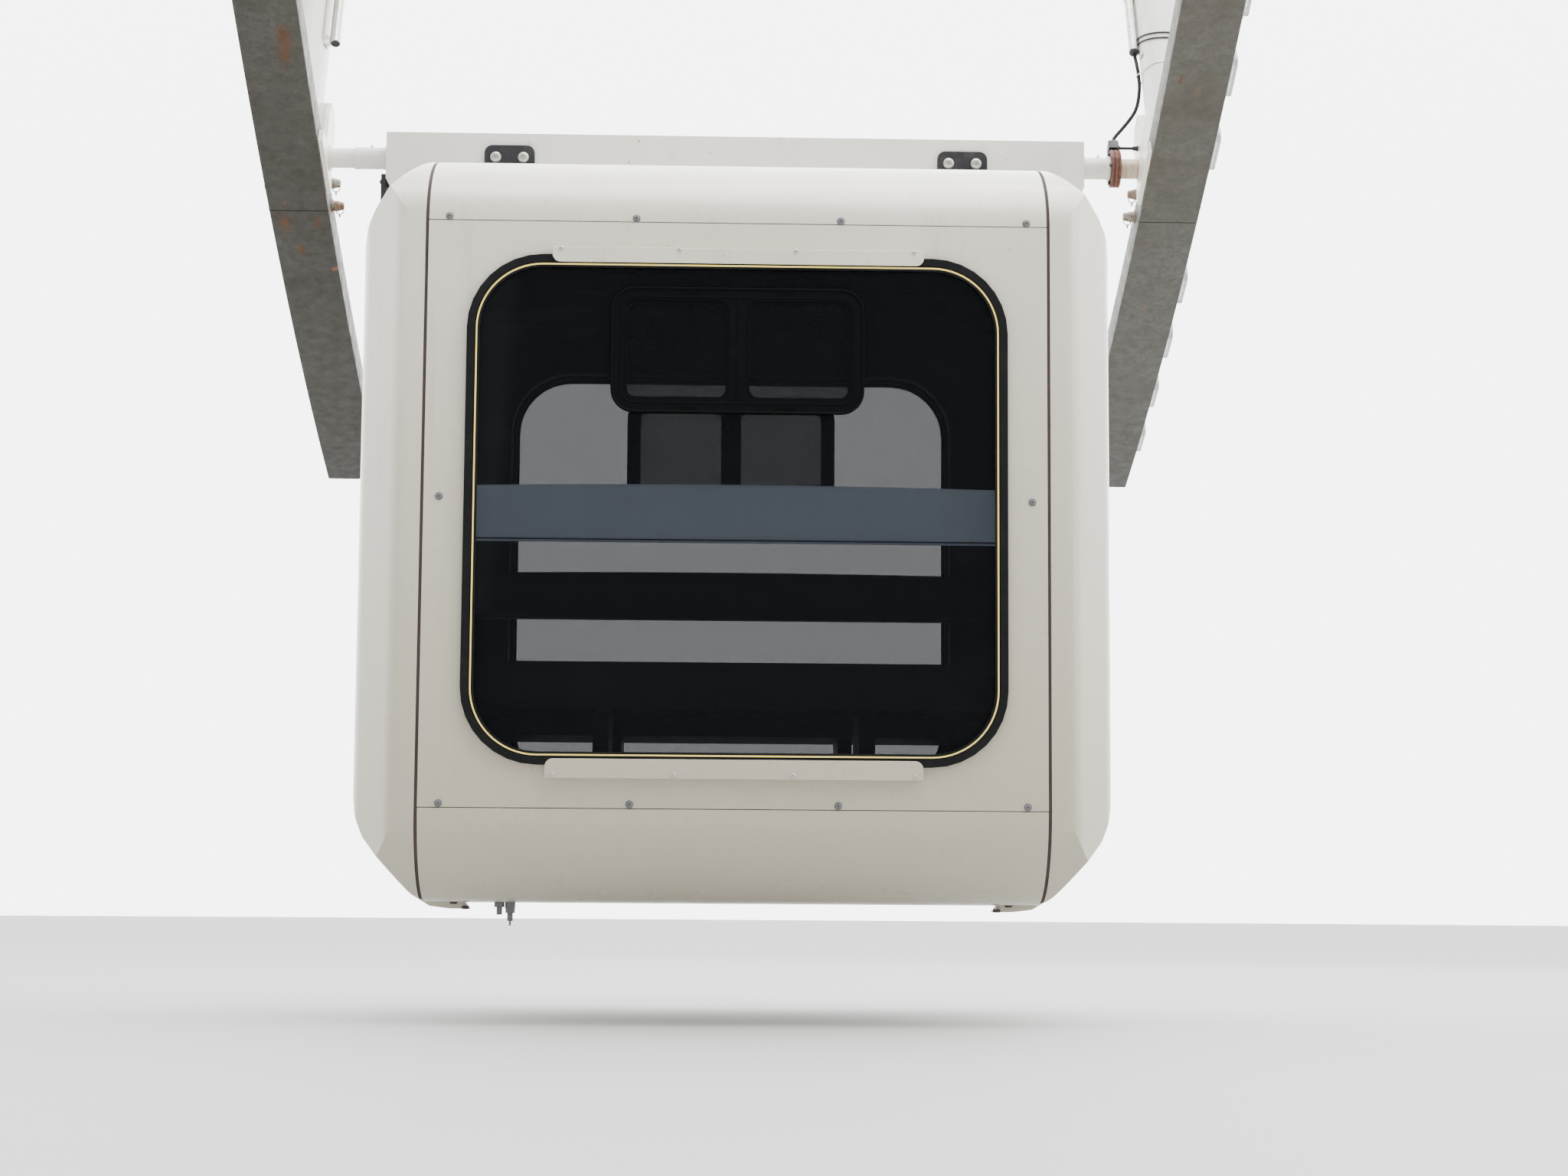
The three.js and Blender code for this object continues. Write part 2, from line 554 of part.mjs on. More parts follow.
function powerCable() {
  const points = CABLE_ROUTE.map((point) => new THREE.Vector3(...point));
  const extrudePath = new THREE.CatmullRomCurve3(points, false, 'centripetal');
  return solid(new THREE.ExtrudeGeometry(circle(CABLE_RADIUS), { steps: 18, curveSegments: 4, extrudePath }));
}

const gondola = new THREE.Group();
place(gondola, 'cross_beam', crossBeam(), BEAM_WHITE);
place(gondola, 'shaft_right', shaft(), BEAM_WHITE);
place(gondola, 'shaft_left', mirrorX(shaft()), BEAM_WHITE);
place(gondola, 'slip_ring', slipRing(), RUSTY);
place(gondola, 'hanger_front_right', hanger(), BLACK);
place(gondola, 'hanger_front_left', mirrorX(hanger()), BLACK);
place(gondola, 'hanger_rear_right', mirrorY(hanger()), BLACK);
place(gondola, 'hanger_rear_left', mirrorX(mirrorY(hanger())), BLACK);
place(gondola, 'roof_skin', roofSkin(), WHITE);
place(gondola, 'belly_skin', bellySkin(), WHITE);
place(gondola, 'side_shell_right', sideShell(), WHITE);
place(gondola, 'side_shell_left', mirrorX(sideShell()), WHITE);
place(gondola, 'door_right', door(), WHITE);
place(gondola, 'door_left', mirrorX(door()), WHITE);
place(gondola, 'door_glass_right', doorGlass(), TINTED);
place(gondola, 'door_glass_left', mirrorX(doorGlass()), TINTED);
place(gondola, 'floor_deck', floor(), FLOORING);
place(gondola, 'cabin_lining', lining(), SEATING);
for (const [name, turn, rail] of [['front', (body) => body, FRONT_RAIL], ['rear', mirrorY, REAR_RAIL]]) {
  place(gondola, `end_panel_${name}`, turn(endPanel()), WHITE);
  place(gondola, `window_seal_${name}`, turn(windowSeal()), RUBBER);
  place(gondola, `end_glass_${name}`, turn(endGlass()), TINTED);
  place(gondola, `vent_frame_${name}`, turn(ventFrame()), BLACK);
  place(gondola, `bench_${name}`, turn(bench(rail)), SEATING);
}

const bay = new THREE.Group();
bay.rotation.x = BAY_TURN;
for (const [side, turn] of [['right', (body) => body], ['left', mirrorX]]) {
  place(bay, `rim_upper_${side}`, turn(rimUpper()), GALVANISED);
  place(bay, `rim_lower_${side}`, turn(rimLower()), GALVANISED);
  place(bay, `splice_spigot_${side}`, turn(spigot()), STEEL);
  place(bay, `splice_pin_upper_${side}`, turn(splicePin(pinArcs[0])), STEEL);
  place(bay, `splice_pin_lower_${side}`, turn(splicePin(pinArcs[1])), STEEL);
  place(bay, `node_bracket_${side}`, turn(nodeBracket()), BEAM_WHITE);
  place(bay, `spoke_${side}`, turn(spoke()), BEAM_WHITE);
  place(bay, `conduit_${side}`, turn(conduit()), STEEL);
}
place(bay, 'lamp_row_upper', lampRow(UPPER_LAMPS), LENS);
place(bay, 'lamp_row_lower', lampRow(LOWER_LAMPS), LENS);
place(bay, 'thin_conduit', mirrorX(thinConduit()), BEAM_WHITE);
place(bay, 'brush_holder', brushHolder(), BLACK);

const hung = new THREE.Group();
place(hung, 'power_cable', powerCable(), RUBBER);

// The origin is the middle of the left spoke's hub flange
const part = new THREE.Group();
const wheelAxis = new THREE.Vector3(1, 0, 0);
const flangeCentre = new THREE.Vector3(-RIM_X, 0, SPOKE_REACH).applyAxisAngle(wheelAxis, BAY_TURN);
part.position.copy(flangeCentre).negate();
part.add(gondola, bay, hung);

export default part;
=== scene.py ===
"""Ferris wheel gondola in its bay of the wheel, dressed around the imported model.

Lengths are millimetres in the axle's frame (X along the axle, Y along the cabin, Z up), as in the
part's source. CABIN places them in the row frame. BAY also turns them with the bay of the wheel.
"""
import json
import math

import bmesh
import bpy
from mathutils import Matrix, Vector


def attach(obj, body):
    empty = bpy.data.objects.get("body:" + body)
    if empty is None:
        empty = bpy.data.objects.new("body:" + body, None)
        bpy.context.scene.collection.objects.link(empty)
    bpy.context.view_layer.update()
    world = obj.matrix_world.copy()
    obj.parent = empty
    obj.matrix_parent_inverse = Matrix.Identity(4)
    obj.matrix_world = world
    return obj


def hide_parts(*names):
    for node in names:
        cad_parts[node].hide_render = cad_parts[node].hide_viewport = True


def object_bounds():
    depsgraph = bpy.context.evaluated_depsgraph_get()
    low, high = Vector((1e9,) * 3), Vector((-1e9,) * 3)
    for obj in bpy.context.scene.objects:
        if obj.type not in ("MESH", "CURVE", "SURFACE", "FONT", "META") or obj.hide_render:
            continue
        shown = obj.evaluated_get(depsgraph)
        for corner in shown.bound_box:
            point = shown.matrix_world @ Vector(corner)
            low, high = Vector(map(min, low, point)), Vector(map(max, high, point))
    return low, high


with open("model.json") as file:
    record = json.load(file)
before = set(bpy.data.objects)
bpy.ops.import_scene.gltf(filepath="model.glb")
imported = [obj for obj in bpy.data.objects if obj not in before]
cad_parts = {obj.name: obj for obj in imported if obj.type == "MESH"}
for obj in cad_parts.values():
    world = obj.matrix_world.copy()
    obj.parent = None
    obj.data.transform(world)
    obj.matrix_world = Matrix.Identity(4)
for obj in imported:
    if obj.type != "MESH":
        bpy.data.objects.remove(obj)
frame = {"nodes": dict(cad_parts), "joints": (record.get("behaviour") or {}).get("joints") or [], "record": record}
cad_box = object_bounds()

AXLE = Vector(frame["joints"][0]["pos_m"])
MILLI = Matrix.Scale(0.001, 4)
BAY_TURN = math.radians(-26.7)
CABIN = Matrix.Translation(AXLE) @ MILLI
BAY = Matrix.Translation(AXLE) @ Matrix.Rotation(BAY_TURN, 4, "X") @ MILLI
MIRROR_X = Matrix.Diagonal((-1, 1, 1, 1))
MIRROR_Y = Matrix.Diagonal((1, -1, 1, 1))
SAME = Matrix.Identity(4)
SIDES = (("right", SAME), ("left", MIRROR_X))
ENDS = (("front", SAME), ("rear", MIRROR_Y))
FROM_LEFT = (("left", SAME), ("right", MIRROR_X))
HERE, ON_LEFT = (("", SAME),), (("", MIRROR_X),)
TO_RIGHT, TO_LEFT, TO_FRONT, UP, DOWN = (1, 0, 0), (-1, 0, 0), (0, -1, 0), (0, 0, 1), (0, 0, -1)

# Camera: fitted to the cabins and the far window in the photograph
CAMERA_AT = Vector((-0.079, -7.69, -2.06))
LENS = 64.86
YAW, PITCH, ROLL = math.radians(1.64), math.radians(6.46), math.radians(0.38)


def linked(name, data):
    obj = bpy.data.objects.new(name, data)
    bpy.context.scene.collection.objects.link(obj)
    return obj


camera_data = bpy.data.cameras.new("camera")
camera_data.lens = LENS
camera_data.sensor_width = 36
camera = linked("camera", camera_data)
camera.matrix_world = (
    Matrix.Translation(AXLE + CAMERA_AT) @ Matrix.Rotation(-YAW, 4, "Z")
    @ Matrix.Rotation(math.pi / 2 + PITCH, 4, "X") @ Matrix.Rotation(ROLL, 4, "Z")
)
bpy.context.scene.camera = camera


# Materials. A Mix node for colours has its factor, both colours and its result in these places.
MIX_FACTOR, MIX_A, MIX_B, MIX_RESULT = 0, 6, 7, 2


class Tree:
    """The nodes of a material or world, with a few short ways to them."""

    def __init__(self, owner):
        owner.use_nodes = True
        self.nodes = owner.node_tree.nodes
        self.links = owner.node_tree.links

    def feed(self, socket, value):
        """Links an output to a socket, or sets the socket to a value."""
        if isinstance(value, bpy.types.NodeSocket):
            self.links.new(value, socket)
        else:
            socket.default_value = value

    def fill(self, node, **inputs):
        for key, value in inputs.items():
            self.feed(node.inputs[key.replace("_", " ")], value)

    def ranged(self, value, low, high, start=0.0, end=1.0):
        """A value's range from low to high turned into one from start to end."""
        node = self.nodes.new("ShaderNodeMapRange")
        self.fill(node, Value=value, From_Min=low, From_Max=high, To_Min=start, To_Max=end)
        return node.outputs["Result"]

    def times(self, a, b):
        node = self.nodes.new("ShaderNodeMath")
        node.operation = "MULTIPLY"
        self.feed(node.inputs[0], a)
        self.feed(node.inputs[1], b)
        return node.outputs[0]


class Paint(Tree):
    """A Principled material. Textures use object coordinates in metres."""

    def __init__(self, name, color, roughness, metallic=0.0, **sockets):
        self.material = bpy.data.materials.new(name)
        super().__init__(self.material)
        self.shader = self.nodes["Principled BSDF"]
        self.fill(self.shader, Base_Color=(*color, 1), Roughness=roughness, Metallic=metallic, **sockets)
        self.coordinates = self.nodes.new("ShaderNodeTexCoord").outputs["Object"]

    def color(self, value):
        self.fill(self.shader, Base_Color=value)

    def rough(self, *spots, **base):
        self.fill(self.shader, Roughness=self.spots(*spots, **base))

    def stretched(self, stretch):
        mapping = self.nodes.new("ShaderNodeMapping")
        self.fill(mapping, Vector=self.coordinates, Scale=stretch)
        return mapping.outputs["Vector"]

    def noise(self, scale, detail=4, roughness=0.55, stretch=(1, 1, 1)):
        node = self.nodes.new("ShaderNodeTexNoise")
        self.fill(node, Vector=self.stretched(stretch), Scale=scale, Detail=detail, Roughness=roughness)
        return node.outputs["Fac"]

    def ramp(self, factor, *stops):
        """Stops are (position, grey or colour)."""
        node = self.nodes.new("ShaderNodeValToRGB")
        elements = node.color_ramp.elements
        while len(elements) < len(stops):
            elements.new(0.5)
        for element, (position, value) in zip(elements, stops):
            element.position = position
            element.color = (*value, 1) if isinstance(value, tuple) else (value, value, value, 1)
        self.fill(node, Fac=factor)
        return node.outputs["Color"]

    def spots(self, low, high, top, *noise, base=0.0):
        """Noise turned into base below one level and top above another."""
        return self.ramp(self.noise(*noise), (low, base), (high, top))

    def over(self, base, color, *spots):
        """Spots of a colour over a base."""
        return self.mix(self.spots(*spots), base, color)

    def grain(self, scale, detail, distance, strength, under=None):
        return self.bump(self.noise(scale, detail), distance, strength, under)

    def mix(self, factor, a, b, blend="MIX"):
        node = self.nodes.new("ShaderNodeMix")
        node.data_type = "RGBA"
        node.blend_type = blend
        for place, value in ((MIX_FACTOR, factor), (MIX_A, a), (MIX_B, b)):
            self.feed(node.inputs[place], (*value, 1) if isinstance(value, tuple) else value)
        return node.outputs[MIX_RESULT]

    def height(self, axis, low, high):
        """0 at low and 1 at high along one axis of the row frame, in metres."""
        split = self.nodes.new("ShaderNodeSeparateXYZ")
        self.fill(split, Vector=self.coordinates)
        return self.ranged(split.outputs[axis], low, high)

    def near(self, point, reach, stretch):
        """1 at a point, falling to 0 at a reach in metres, which is longer along axes stretched below 1."""
        distance = self.nodes.new("ShaderNodeVectorMath")
        distance.operation = "DISTANCE"
        self.feed(distance.inputs[0], self.stretched(stretch))
        self.feed(distance.inputs[1], [a * b for a, b in zip(point, stretch)])
        return self.ranged(distance.outputs["Value"], 0.0, reach, 1.0, 0.0)

    def bump(self, height, distance, strength=1.0, under=None):
        node = self.nodes.new("ShaderNodeBump")
        self.fill(node, Height=height, Distance=distance, Strength=strength)
        if under is not None:
            self.fill(node, Normal=under)
        self.fill(self.shader, Normal=node.outputs["Normal"])
        return node.outputs["Normal"]


MATERIALS = {}


def look(*values, **sockets):
    """Makes the material that a function paints, named after the function."""
    def make(painter):
        paint = Paint(painter.__name__, *values, **sockets)
        painter(paint)
        MATERIALS[painter.__name__] = paint.material
        return painter
    return make


@look((0.76, 0.745, 0.69), 0.3, Coat_Weight=0.3, Coat_Roughness=0.12)
def white_shell(paint):
    clean = paint.mix(paint.spots(0.35, 0.65, 1.0, 1.7, 3), (0.785, 0.745, 0.64), (0.735, 0.69, 0.58))
    # Painted shade: the shell's colour darkens and browns towards the bottom, standing in for less light low down.
    lower = paint.height(2, AXLE.z - 0.25, AXLE.z - 1.85)
    tone = paint.mix(lower, clean, (0.49, 0.445, 0.335))
    streaks_and_shade = paint.over(tone, (0.53, 0.475, 0.365), 0.55, 0.8, 0.5, 9, 5, 0.6, (3.2, 3.2, 0.22))
    low = paint.height(2, AXLE.z - 1.55, AXLE.z - 2.06)
    dust = paint.times(low, paint.spots(0.3, 0.75, 0.62, 6, 6, 0.65, base=0.12))
    dust_and_shade = paint.mix(dust, streaks_and_shade, (0.50, 0.475, 0.40))
    paint.color(paint.over(dust_and_shade, (0.45, 0.43, 0.37), 0.70, 0.76, 0.5, 55, 3, 0.5))
    paint.rough(0.3, 0.75, 0.42, 14, 5, base=0.24)
    waves = paint.grain(2.6, 1, 0.006, 0.25)
    paint.grain(260, 2, 0.0003, 0.3, waves)


@look((0.79, 0.775, 0.725), 0.36)
def white_steel(paint):
    tone = paint.mix(paint.noise(3.5, 5), (0.84, 0.825, 0.775), (0.73, 0.71, 0.655))
    dirty = paint.over(tone, (0.52, 0.48, 0.40), 0.56, 0.78, 0.55, 7, 7, 0.7, (1, 1, 0.4))
    chips = paint.spots(0.705, 0.725, 1.0, 38, 4, 0.6)
    paint.color(paint.mix(chips, dirty, (0.30, 0.20, 0.14)))
    paint.rough(0.3, 0.7, 0.5, 20, 4, base=0.28)
    paint.bump(paint.mix(chips, paint.noise(150, 3), (0.0, 0.0, 0.0)), 0.0006, 0.35)


RUST_MARKS = (((-1188, -490, 190), 0.040), ((-1194, -430, 160), 0.034), ((-1272, 165, -150), 0.036),
              ((-1178, 158, -146), 0.022), ((-1240, 268, -196), 0.026), ((1179, -392, 139), 0.014))


@look((0.14, 0.14, 0.125), 0.62, 0.25)
def galvanised(paint):
    grey = paint.over((0.062, 0.061, 0.054), (0.102, 0.100, 0.090), 0.38, 0.62, 1.0, 62, 6, 0.75)
    brown = paint.over(grey, (0.055, 0.048, 0.036), 0.36, 0.66, 1.0, 2.6, 6, 0.62)
    pale = paint.over(brown, (0.17, 0.167, 0.152), 0.58, 0.78, 0.6, 15, 7, 0.75)
    spots = paint.spots(0.675, 0.70, 1.0, 17, 6, 0.66)
    runs = paint.spots(0.62, 0.76, 0.6, 10, 4, 0.55, (2.6, 1.8, 0.22))
    rust = paint.mix(paint.noise(80, 3), (0.19, 0.085, 0.035), (0.085, 0.04, 0.022))
    # Painted shade and light: the rims darken towards the bottom, and the left rim is painted darker and the right
    # one lighter, as if lit from the right.
    lower = paint.ramp(paint.height(2, AXLE.z + 0.5, AXLE.z - 0.6), (0.0, 0.0), (1.0, 0.6))
    shaded = paint.mix(lower, paint.mix(runs, pale, (0.125, 0.078, 0.042)), (0.034, 0.032, 0.028))
    painted_side_light = paint.mix(paint.height(0, 0.3, 2.2), (0.74, 0.73, 0.70), (1.25, 1.27, 1.30))
    tone = paint.mix(spots, paint.mix(1.0, shaded, painted_side_light, "MULTIPLY"), rust)
    for place, reach in RUST_MARKS:
        mark = paint.near(AXLE + Vector(place) / 1000, reach, (1, 0.4, 0.6))
        ragged = paint.times(mark, paint.noise(48, 6, 0.75))
        tone = paint.mix(paint.ramp(ragged, (0.17, 0.0), (0.50, 0.95)), tone, (0.085, 0.031, 0.007))
    paint.color(tone)
    paint.rough(0.3, 0.75, 0.78, 30, 5, base=0.5)
    paint.grain(120, 4, 0.0008, 0.5)


@look((0.56, 0.56, 0.54), 0.34, 0.85)
def steel(paint):
    tone = paint.mix(paint.noise(45, 5), (0.63, 0.63, 0.60), (0.42, 0.41, 0.38))
    paint.color(paint.over(tone, (0.30, 0.17, 0.09), 0.62, 0.72, 0.8, 85, 4, 0.65))
    paint.rough(0.3, 0.75, 0.55, 90, 4, base=0.26)
    paint.grain(400, 2, 0.0002, 0.4)


@look((0.42, 0.36, 0.30), 0.55, 0.5)
def worn_steel(paint):
    paint.color(paint.over((0.30, 0.28, 0.25), (0.17, 0.09, 0.05), 0.4, 0.6, 1.0, 60, 5, 0.7))
    paint.grain(300, 3, 0.0004, 0.5)


@look((0.55, 0.45, 0.34), 0.5, 0.2)
def bare_shaft(paint):
    tone = paint.over((0.60, 0.53, 0.43), (0.36, 0.20, 0.11), 0.42, 0.68, 1.0, 30, 5, 0.6, (6, 0.5, 0.5))
    paint.color(paint.mix(paint.noise(90, 4), tone, (0.42, 0.33, 0.24)))
    paint.grain(260, 3, 0.0003, 0.4)


@look((0.36, 0.20, 0.15), 0.8, 0.25)
def rusty_steel(paint):
    dark, middle, light = (0.07, 0.03, 0.025), (0.17, 0.072, 0.055), (0.24, 0.13, 0.10)
    paint.color(paint.ramp(paint.noise(60, 6, 0.65), (0.3, dark), (0.55, middle), (0.8, light)))
    paint.grain(220, 5, 0.0008, 0.8)


@look((0.02, 0.02, 0.022), 0.42, Specular_IOR_Level=0.45)
def black_metal(paint):
    paint.color(paint.over((0.016, 0.016, 0.019), (0.12, 0.115, 0.10), 0.5, 0.85, 0.35, 24, 6, 0.7))
    paint.rough(0.3, 0.8, 0.58, 40, 4, base=0.32)
    paint.grain(500, 2, 0.0002, 0.4)


@look((0.008, 0.008, 0.009), 0.6, Specular_IOR_Level=0.15)
def rubber(paint):
    paint.color(paint.over((0.006, 0.006, 0.007), (0.03, 0.029, 0.028), 0.5, 0.85, 0.3, 18, 6, 0.65))
    paint.rough(0.3, 0.7, 0.75, 60, 3, base=0.5)
    paint.grain(300, 3, 0.0003, 0.3)


@look((0.003, 0.003, 0.004), 0.6, Specular_IOR_Level=0.06)
def matt_black(paint):
    paint.color(paint.over((0.0025, 0.003, 0.0035), (0.010, 0.011, 0.012), 0.55, 0.85, 0.3, 30, 6, 0.7))
    paint.grain(400, 2, 0.0002, 0.4)


@look((0.12, 0.09, 0.085), 0.8, Specular_IOR_Level=0.2)
def dusty_rubber(paint):
    paint.color(paint.mix(paint.noise(12, 5), (0.10, 0.07, 0.068), (0.045, 0.035, 0.036)))
    paint.grain(300, 3, 0.0003, 0.3)


@look((0.17, 0.17, 0.175), 0.55, Specular_IOR_Level=0.3)
def dull_grey(paint):
    paint.color(paint.mix(paint.noise(70, 4), (0.20, 0.20, 0.205), (0.11, 0.11, 0.115)))


@look((0.004, 0.0045, 0.006), 0.03, IOR=1.5, Alpha=0.59, Specular_IOR_Level=0.12)
def tinted_glass(paint):
    smear = paint.spots(0.6, 0.95, 0.4, 5, 6, 0.6, (1, 1, 2.5))
    paint.color(paint.mix(smear, (0.004, 0.0045, 0.006), (0.022, 0.023, 0.027)))
    paint.rough(0.4, 0.8, 0.07, 9, 5, base=0.02)
    paint.grain(1.4, 1, 0.004, 0.06)


@look((0.03, 0.03, 0.034), 0.5, Specular_IOR_Level=0.3)
def seating(paint):
    tone = paint.mix(paint.noise(5, 5), (0.030, 0.029, 0.032), (0.018, 0.018, 0.021))
    paint.color(paint.over(tone, (0.05, 0.05, 0.056), 0.6, 0.85, 0.4, 16, 6, 0.7, (0.4, 1, 1)))
    paint.rough(0.3, 0.75, 0.6, 30, 4, base=0.42)
    paint.grain(180, 3, 0.0003, 0.15)


# Painted light: a pale blue that glows, though the pad is no lamp, makes the front rail pad look lit.
@look((0.62, 0.70, 0.82), 0.45, Specular_IOR_Level=0.4, Emission_Strength=0.33,
      Emission_Color=(0.62, 0.76, 1.0, 1))
def vinyl_painted_glow(paint):
    paint.color(paint.mix(paint.noise(4, 5), (0.82, 0.89, 0.98), (0.70, 0.77, 0.88)))
    paint.grain(220, 3, 0.0003, 0.2)


@look((0.075, 0.077, 0.08), 0.6)
def flooring(paint):
    cells = paint.nodes.new("ShaderNodeTexVoronoi")
    paint.fill(cells, Vector=paint.coordinates, Scale=38)
    studs = paint.ramp(cells.outputs["Distance"], (0.25, 1.0), (0.4, 0.0))
    paint.color(paint.over((0.065, 0.067, 0.07), (0.16, 0.15, 0.13), 0.45, 0.8, 0.5, 9, 6, 0.65))
    paint.bump(studs, 0.0015, 0.8)


@look((0.80, 0.82, 0.83), 0.16, Coat_Weight=0.3, Transmission_Weight=0.35)
def lens(paint):
    paint.color(paint.mix(paint.noise(30, 4), (0.84, 0.86, 0.87), (0.70, 0.71, 0.69)))
    ribs = paint.nodes.new("ShaderNodeTexWave")
    ribs.bands_direction = "Z"
    paint.fill(ribs, Vector=paint.coordinates, Scale=38)
    paint.bump(ribs.outputs["Fac"], 0.0012, 0.5)


@look((0.30, 0.23, 0.05), 0.4, Emission_Strength=1.25)
def light_line(paint):
    glow = paint.mix(paint.noise(14, 2), (1.0, 0.84, 0.26), (1.0, 0.78, 0.18))
    paint.fill(paint.shader, Emission_Color=glow)


# Mesh helpers. Those that take a bmesh add one solid to it.
def spread(axis, along, a, b):
    """A point whose place along one axis is given first, and whose other two follow in X, Y, Z order."""
    return Vector({"X": (along, a, b), "Y": (a, along, b), "Z": (a, b, along)}[axis])


def loft(bm, rings, ring_closed=False):
    rows = [[bm.verts.new(point) for point in ring] for ring in rings]
    pairs = list(zip(rows, rows[1:]))
    if ring_closed:
        pairs.append((rows[-1], rows[0]))
    count = len(rows[0])
    for a, b in pairs:
        for i in range(count):
            bm.faces.new((a[i], a[(i + 1) % count], b[(i + 1) % count], b[i]))
    if not ring_closed:
        bm.faces.new(rows[0])
        bm.faces.new(rows[-1])


def prism(bm, loop, axis, start, end):
    loft(bm, [[spread(axis, along, *point) for point in loop] for along in (start, end)])


def hoop(bm, outer, inner, axis, start, end):
    """A frame between two loops with the same number of points."""
    corners = ((outer, start), (outer, end), (inner, end), (inner, start))
    loft(bm, [[spread(axis, along, *point) for point in loop] for loop, along in corners], True)


def block(bm, x0, x1, y0, y1, z0, z1):
    prism(bm, [(x0, y0), (x1, y0), (x1, y1), (x0, y1)], "Z", z0, z1)


def circle(radius, segments):
    """Points of a circle round the origin, in two coordinates."""
    turns = [2 * math.pi * i / segments for i in range(segments)]
    return [(radius * math.cos(turn), radius * math.sin(turn)) for turn in turns]


def lathe(bm, at, toward, profile, segments=24):
    """Profile points are (radius, height), turned about the line from at in the direction toward."""
    turn = Vector(toward).to_track_quat("Z", "Y").to_matrix()
    rings = []
    for radius, height in profile:
        rings.append([Vector(at) + turn @ Vector((x, y, height)) for x, y in circle(radius, segments)])
    loft(bm, rings)


def bead(bm, at, toward, radius, thick, segments=40, rings=10):
    """A torus of slightly uneven thickness, for welds and wire rings."""
    turn = Vector(toward).to_track_quat("Z", "Y").to_matrix()
    loops = []
    for i, (x, y) in enumerate(circle(1, segments)):
        ring = circle(thick * (1 + 0.12 * math.sin(34 * math.pi * i / segments)), rings)
        loops.append([Vector(at) + turn @ Vector((x * (radius + a), y * (radius + a), b)) for a, b in ring])
    loft(bm, loops, True)


def tube(bm, points, radius, segments=8, closed=False):
    points = [Vector(point) for point in points]
    count = len(points)
    side = None
    rings = []
    for i, point in enumerate(points):
        before = points[(i - 1) % count] if closed or i > 0 else point
        after = points[(i + 1) % count] if closed or i < count - 1 else point
        along = (after - before).normalized()
        if side is None:
            side = along.orthogonal().normalized()
        side = (side - along * side.dot(along)).normalized()
        other = along.cross(side)
        rings.append([point + x * side + y * other for x, y in circle(radius, segments)])
    loft(bm, rings, closed)


def arc(cx, cy, rx, ry, start, end, steps):
    """Points of an ellipse, with angles in degrees."""
    points = []
    for i in range(steps + 1):
        angle = math.radians(start + (end - start) * i / steps)
        points.append((cx + rx * math.cos(angle), cy + ry * math.sin(angle)))
    return points


def rounded(width, height, corner, cx=0.0, cy=0.0, steps=8):
    x, y = width / 2 - corner, height / 2 - corner
    points = []
    for start, across, up in ((-90, 1, -1), (0, 1, 1), (90, -1, 1), (180, -1, -1)):
        points += arc(cx + across * x, cy + up * y, corner, corner, start, start + 90, steps)
    return points


def bolt(bm, at, toward, width=19.0, height=8.0, washer=13.0, stud=0.0):
    """Hex head on a washer, with the stud's end standing out of it if it is a nut."""
    radius = width / 2 / math.cos(math.pi / 6)
    lathe(bm, at, toward, [(washer, -0.5), (washer, 1.6), (washer - 0.6, 2.2), (washer * 0.6, 2.2)])
    base = Vector(at) + Vector(toward).normalized() * 2
    lathe(bm, base, toward, [(radius, 0), (radius, height - 1.4), (radius * 0.88, height)], 6)
    if stud:
        thread, top = width * 0.3, height + stud
        lathe(bm, base, toward, [(thread, height - 1), (thread, top - 1.5), (width * 0.24, top)], 12)


def dome(bm, at, toward, radius, height, washer=0.0):
    """Button head with a round recess, on a washer if it has one."""
    if washer:
        lathe(bm, at, toward, [(washer, -0.5), (washer, 1.0), (washer - 0.5, 1.5), (washer * 0.5, 1.5)])
    base = Vector(at) + Vector(toward).normalized() * (1.2 if washer else 0)
    curve = [(radius * math.cos(a), height * (0.25 + 0.75 * math.sin(a))) for a in (0, 0.35, 0.7, 1.0, 1.2)]
    recess = radius * 0.34
    hollow = [(recess, height * 0.99), (recess * 0.9, height * 0.45)]
    lathe(bm, base, toward, [(radius, -0.5)] + curve + hollow, 18)


def object_of(name, bm):
    """An object with the faces of a bmesh, which is freed."""
    mesh = bpy.data.meshes.new(name)
    bm.to_mesh(mesh)
    bm.free()
    return linked(name, mesh)


PLACES = {"gondola": CABIN, "wheel_bay": BAY}


def piece(name, bm, slot, body="gondola", finish="", replaces="", **softness):
    """Turns a bmesh into a piece that rides on a body and takes the finish of a slot."""
    bmesh.ops.transform(bm, matrix=PLACES[body], verts=bm.verts)
    bmesh.ops.recalc_face_normals(bm, faces=bm.faces)
    obj = object_of(name, bm)
    dress(obj, finish or slot, **softness)
    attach(obj, body)
    if replaces:
        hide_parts(replaces)


def dress(obj, finish, bevel=0.0, smooth=32, segments=2):
    """Gives an object its material and smooth shading, and softens edges sharper than smooth degrees."""
    mesh = obj.data
    material = MATERIALS[finish]
    if mesh.materials:
        for place in obj.material_slots:
            place.material = material
    else:
        mesh.materials.append(material)
    mesh.shade_smooth()
    mesh.set_sharp_from_angle(angle=math.radians(smooth))
    if bevel:
        modifier = obj.modifiers.new("bevel", "BEVEL")
        modifier.width = bevel / 1000
        modifier.segments = segments
        modifier.limit_method = "ANGLE"
        modifier.angle_limit = math.radians(smooth)
        modifier.harden_normals = True


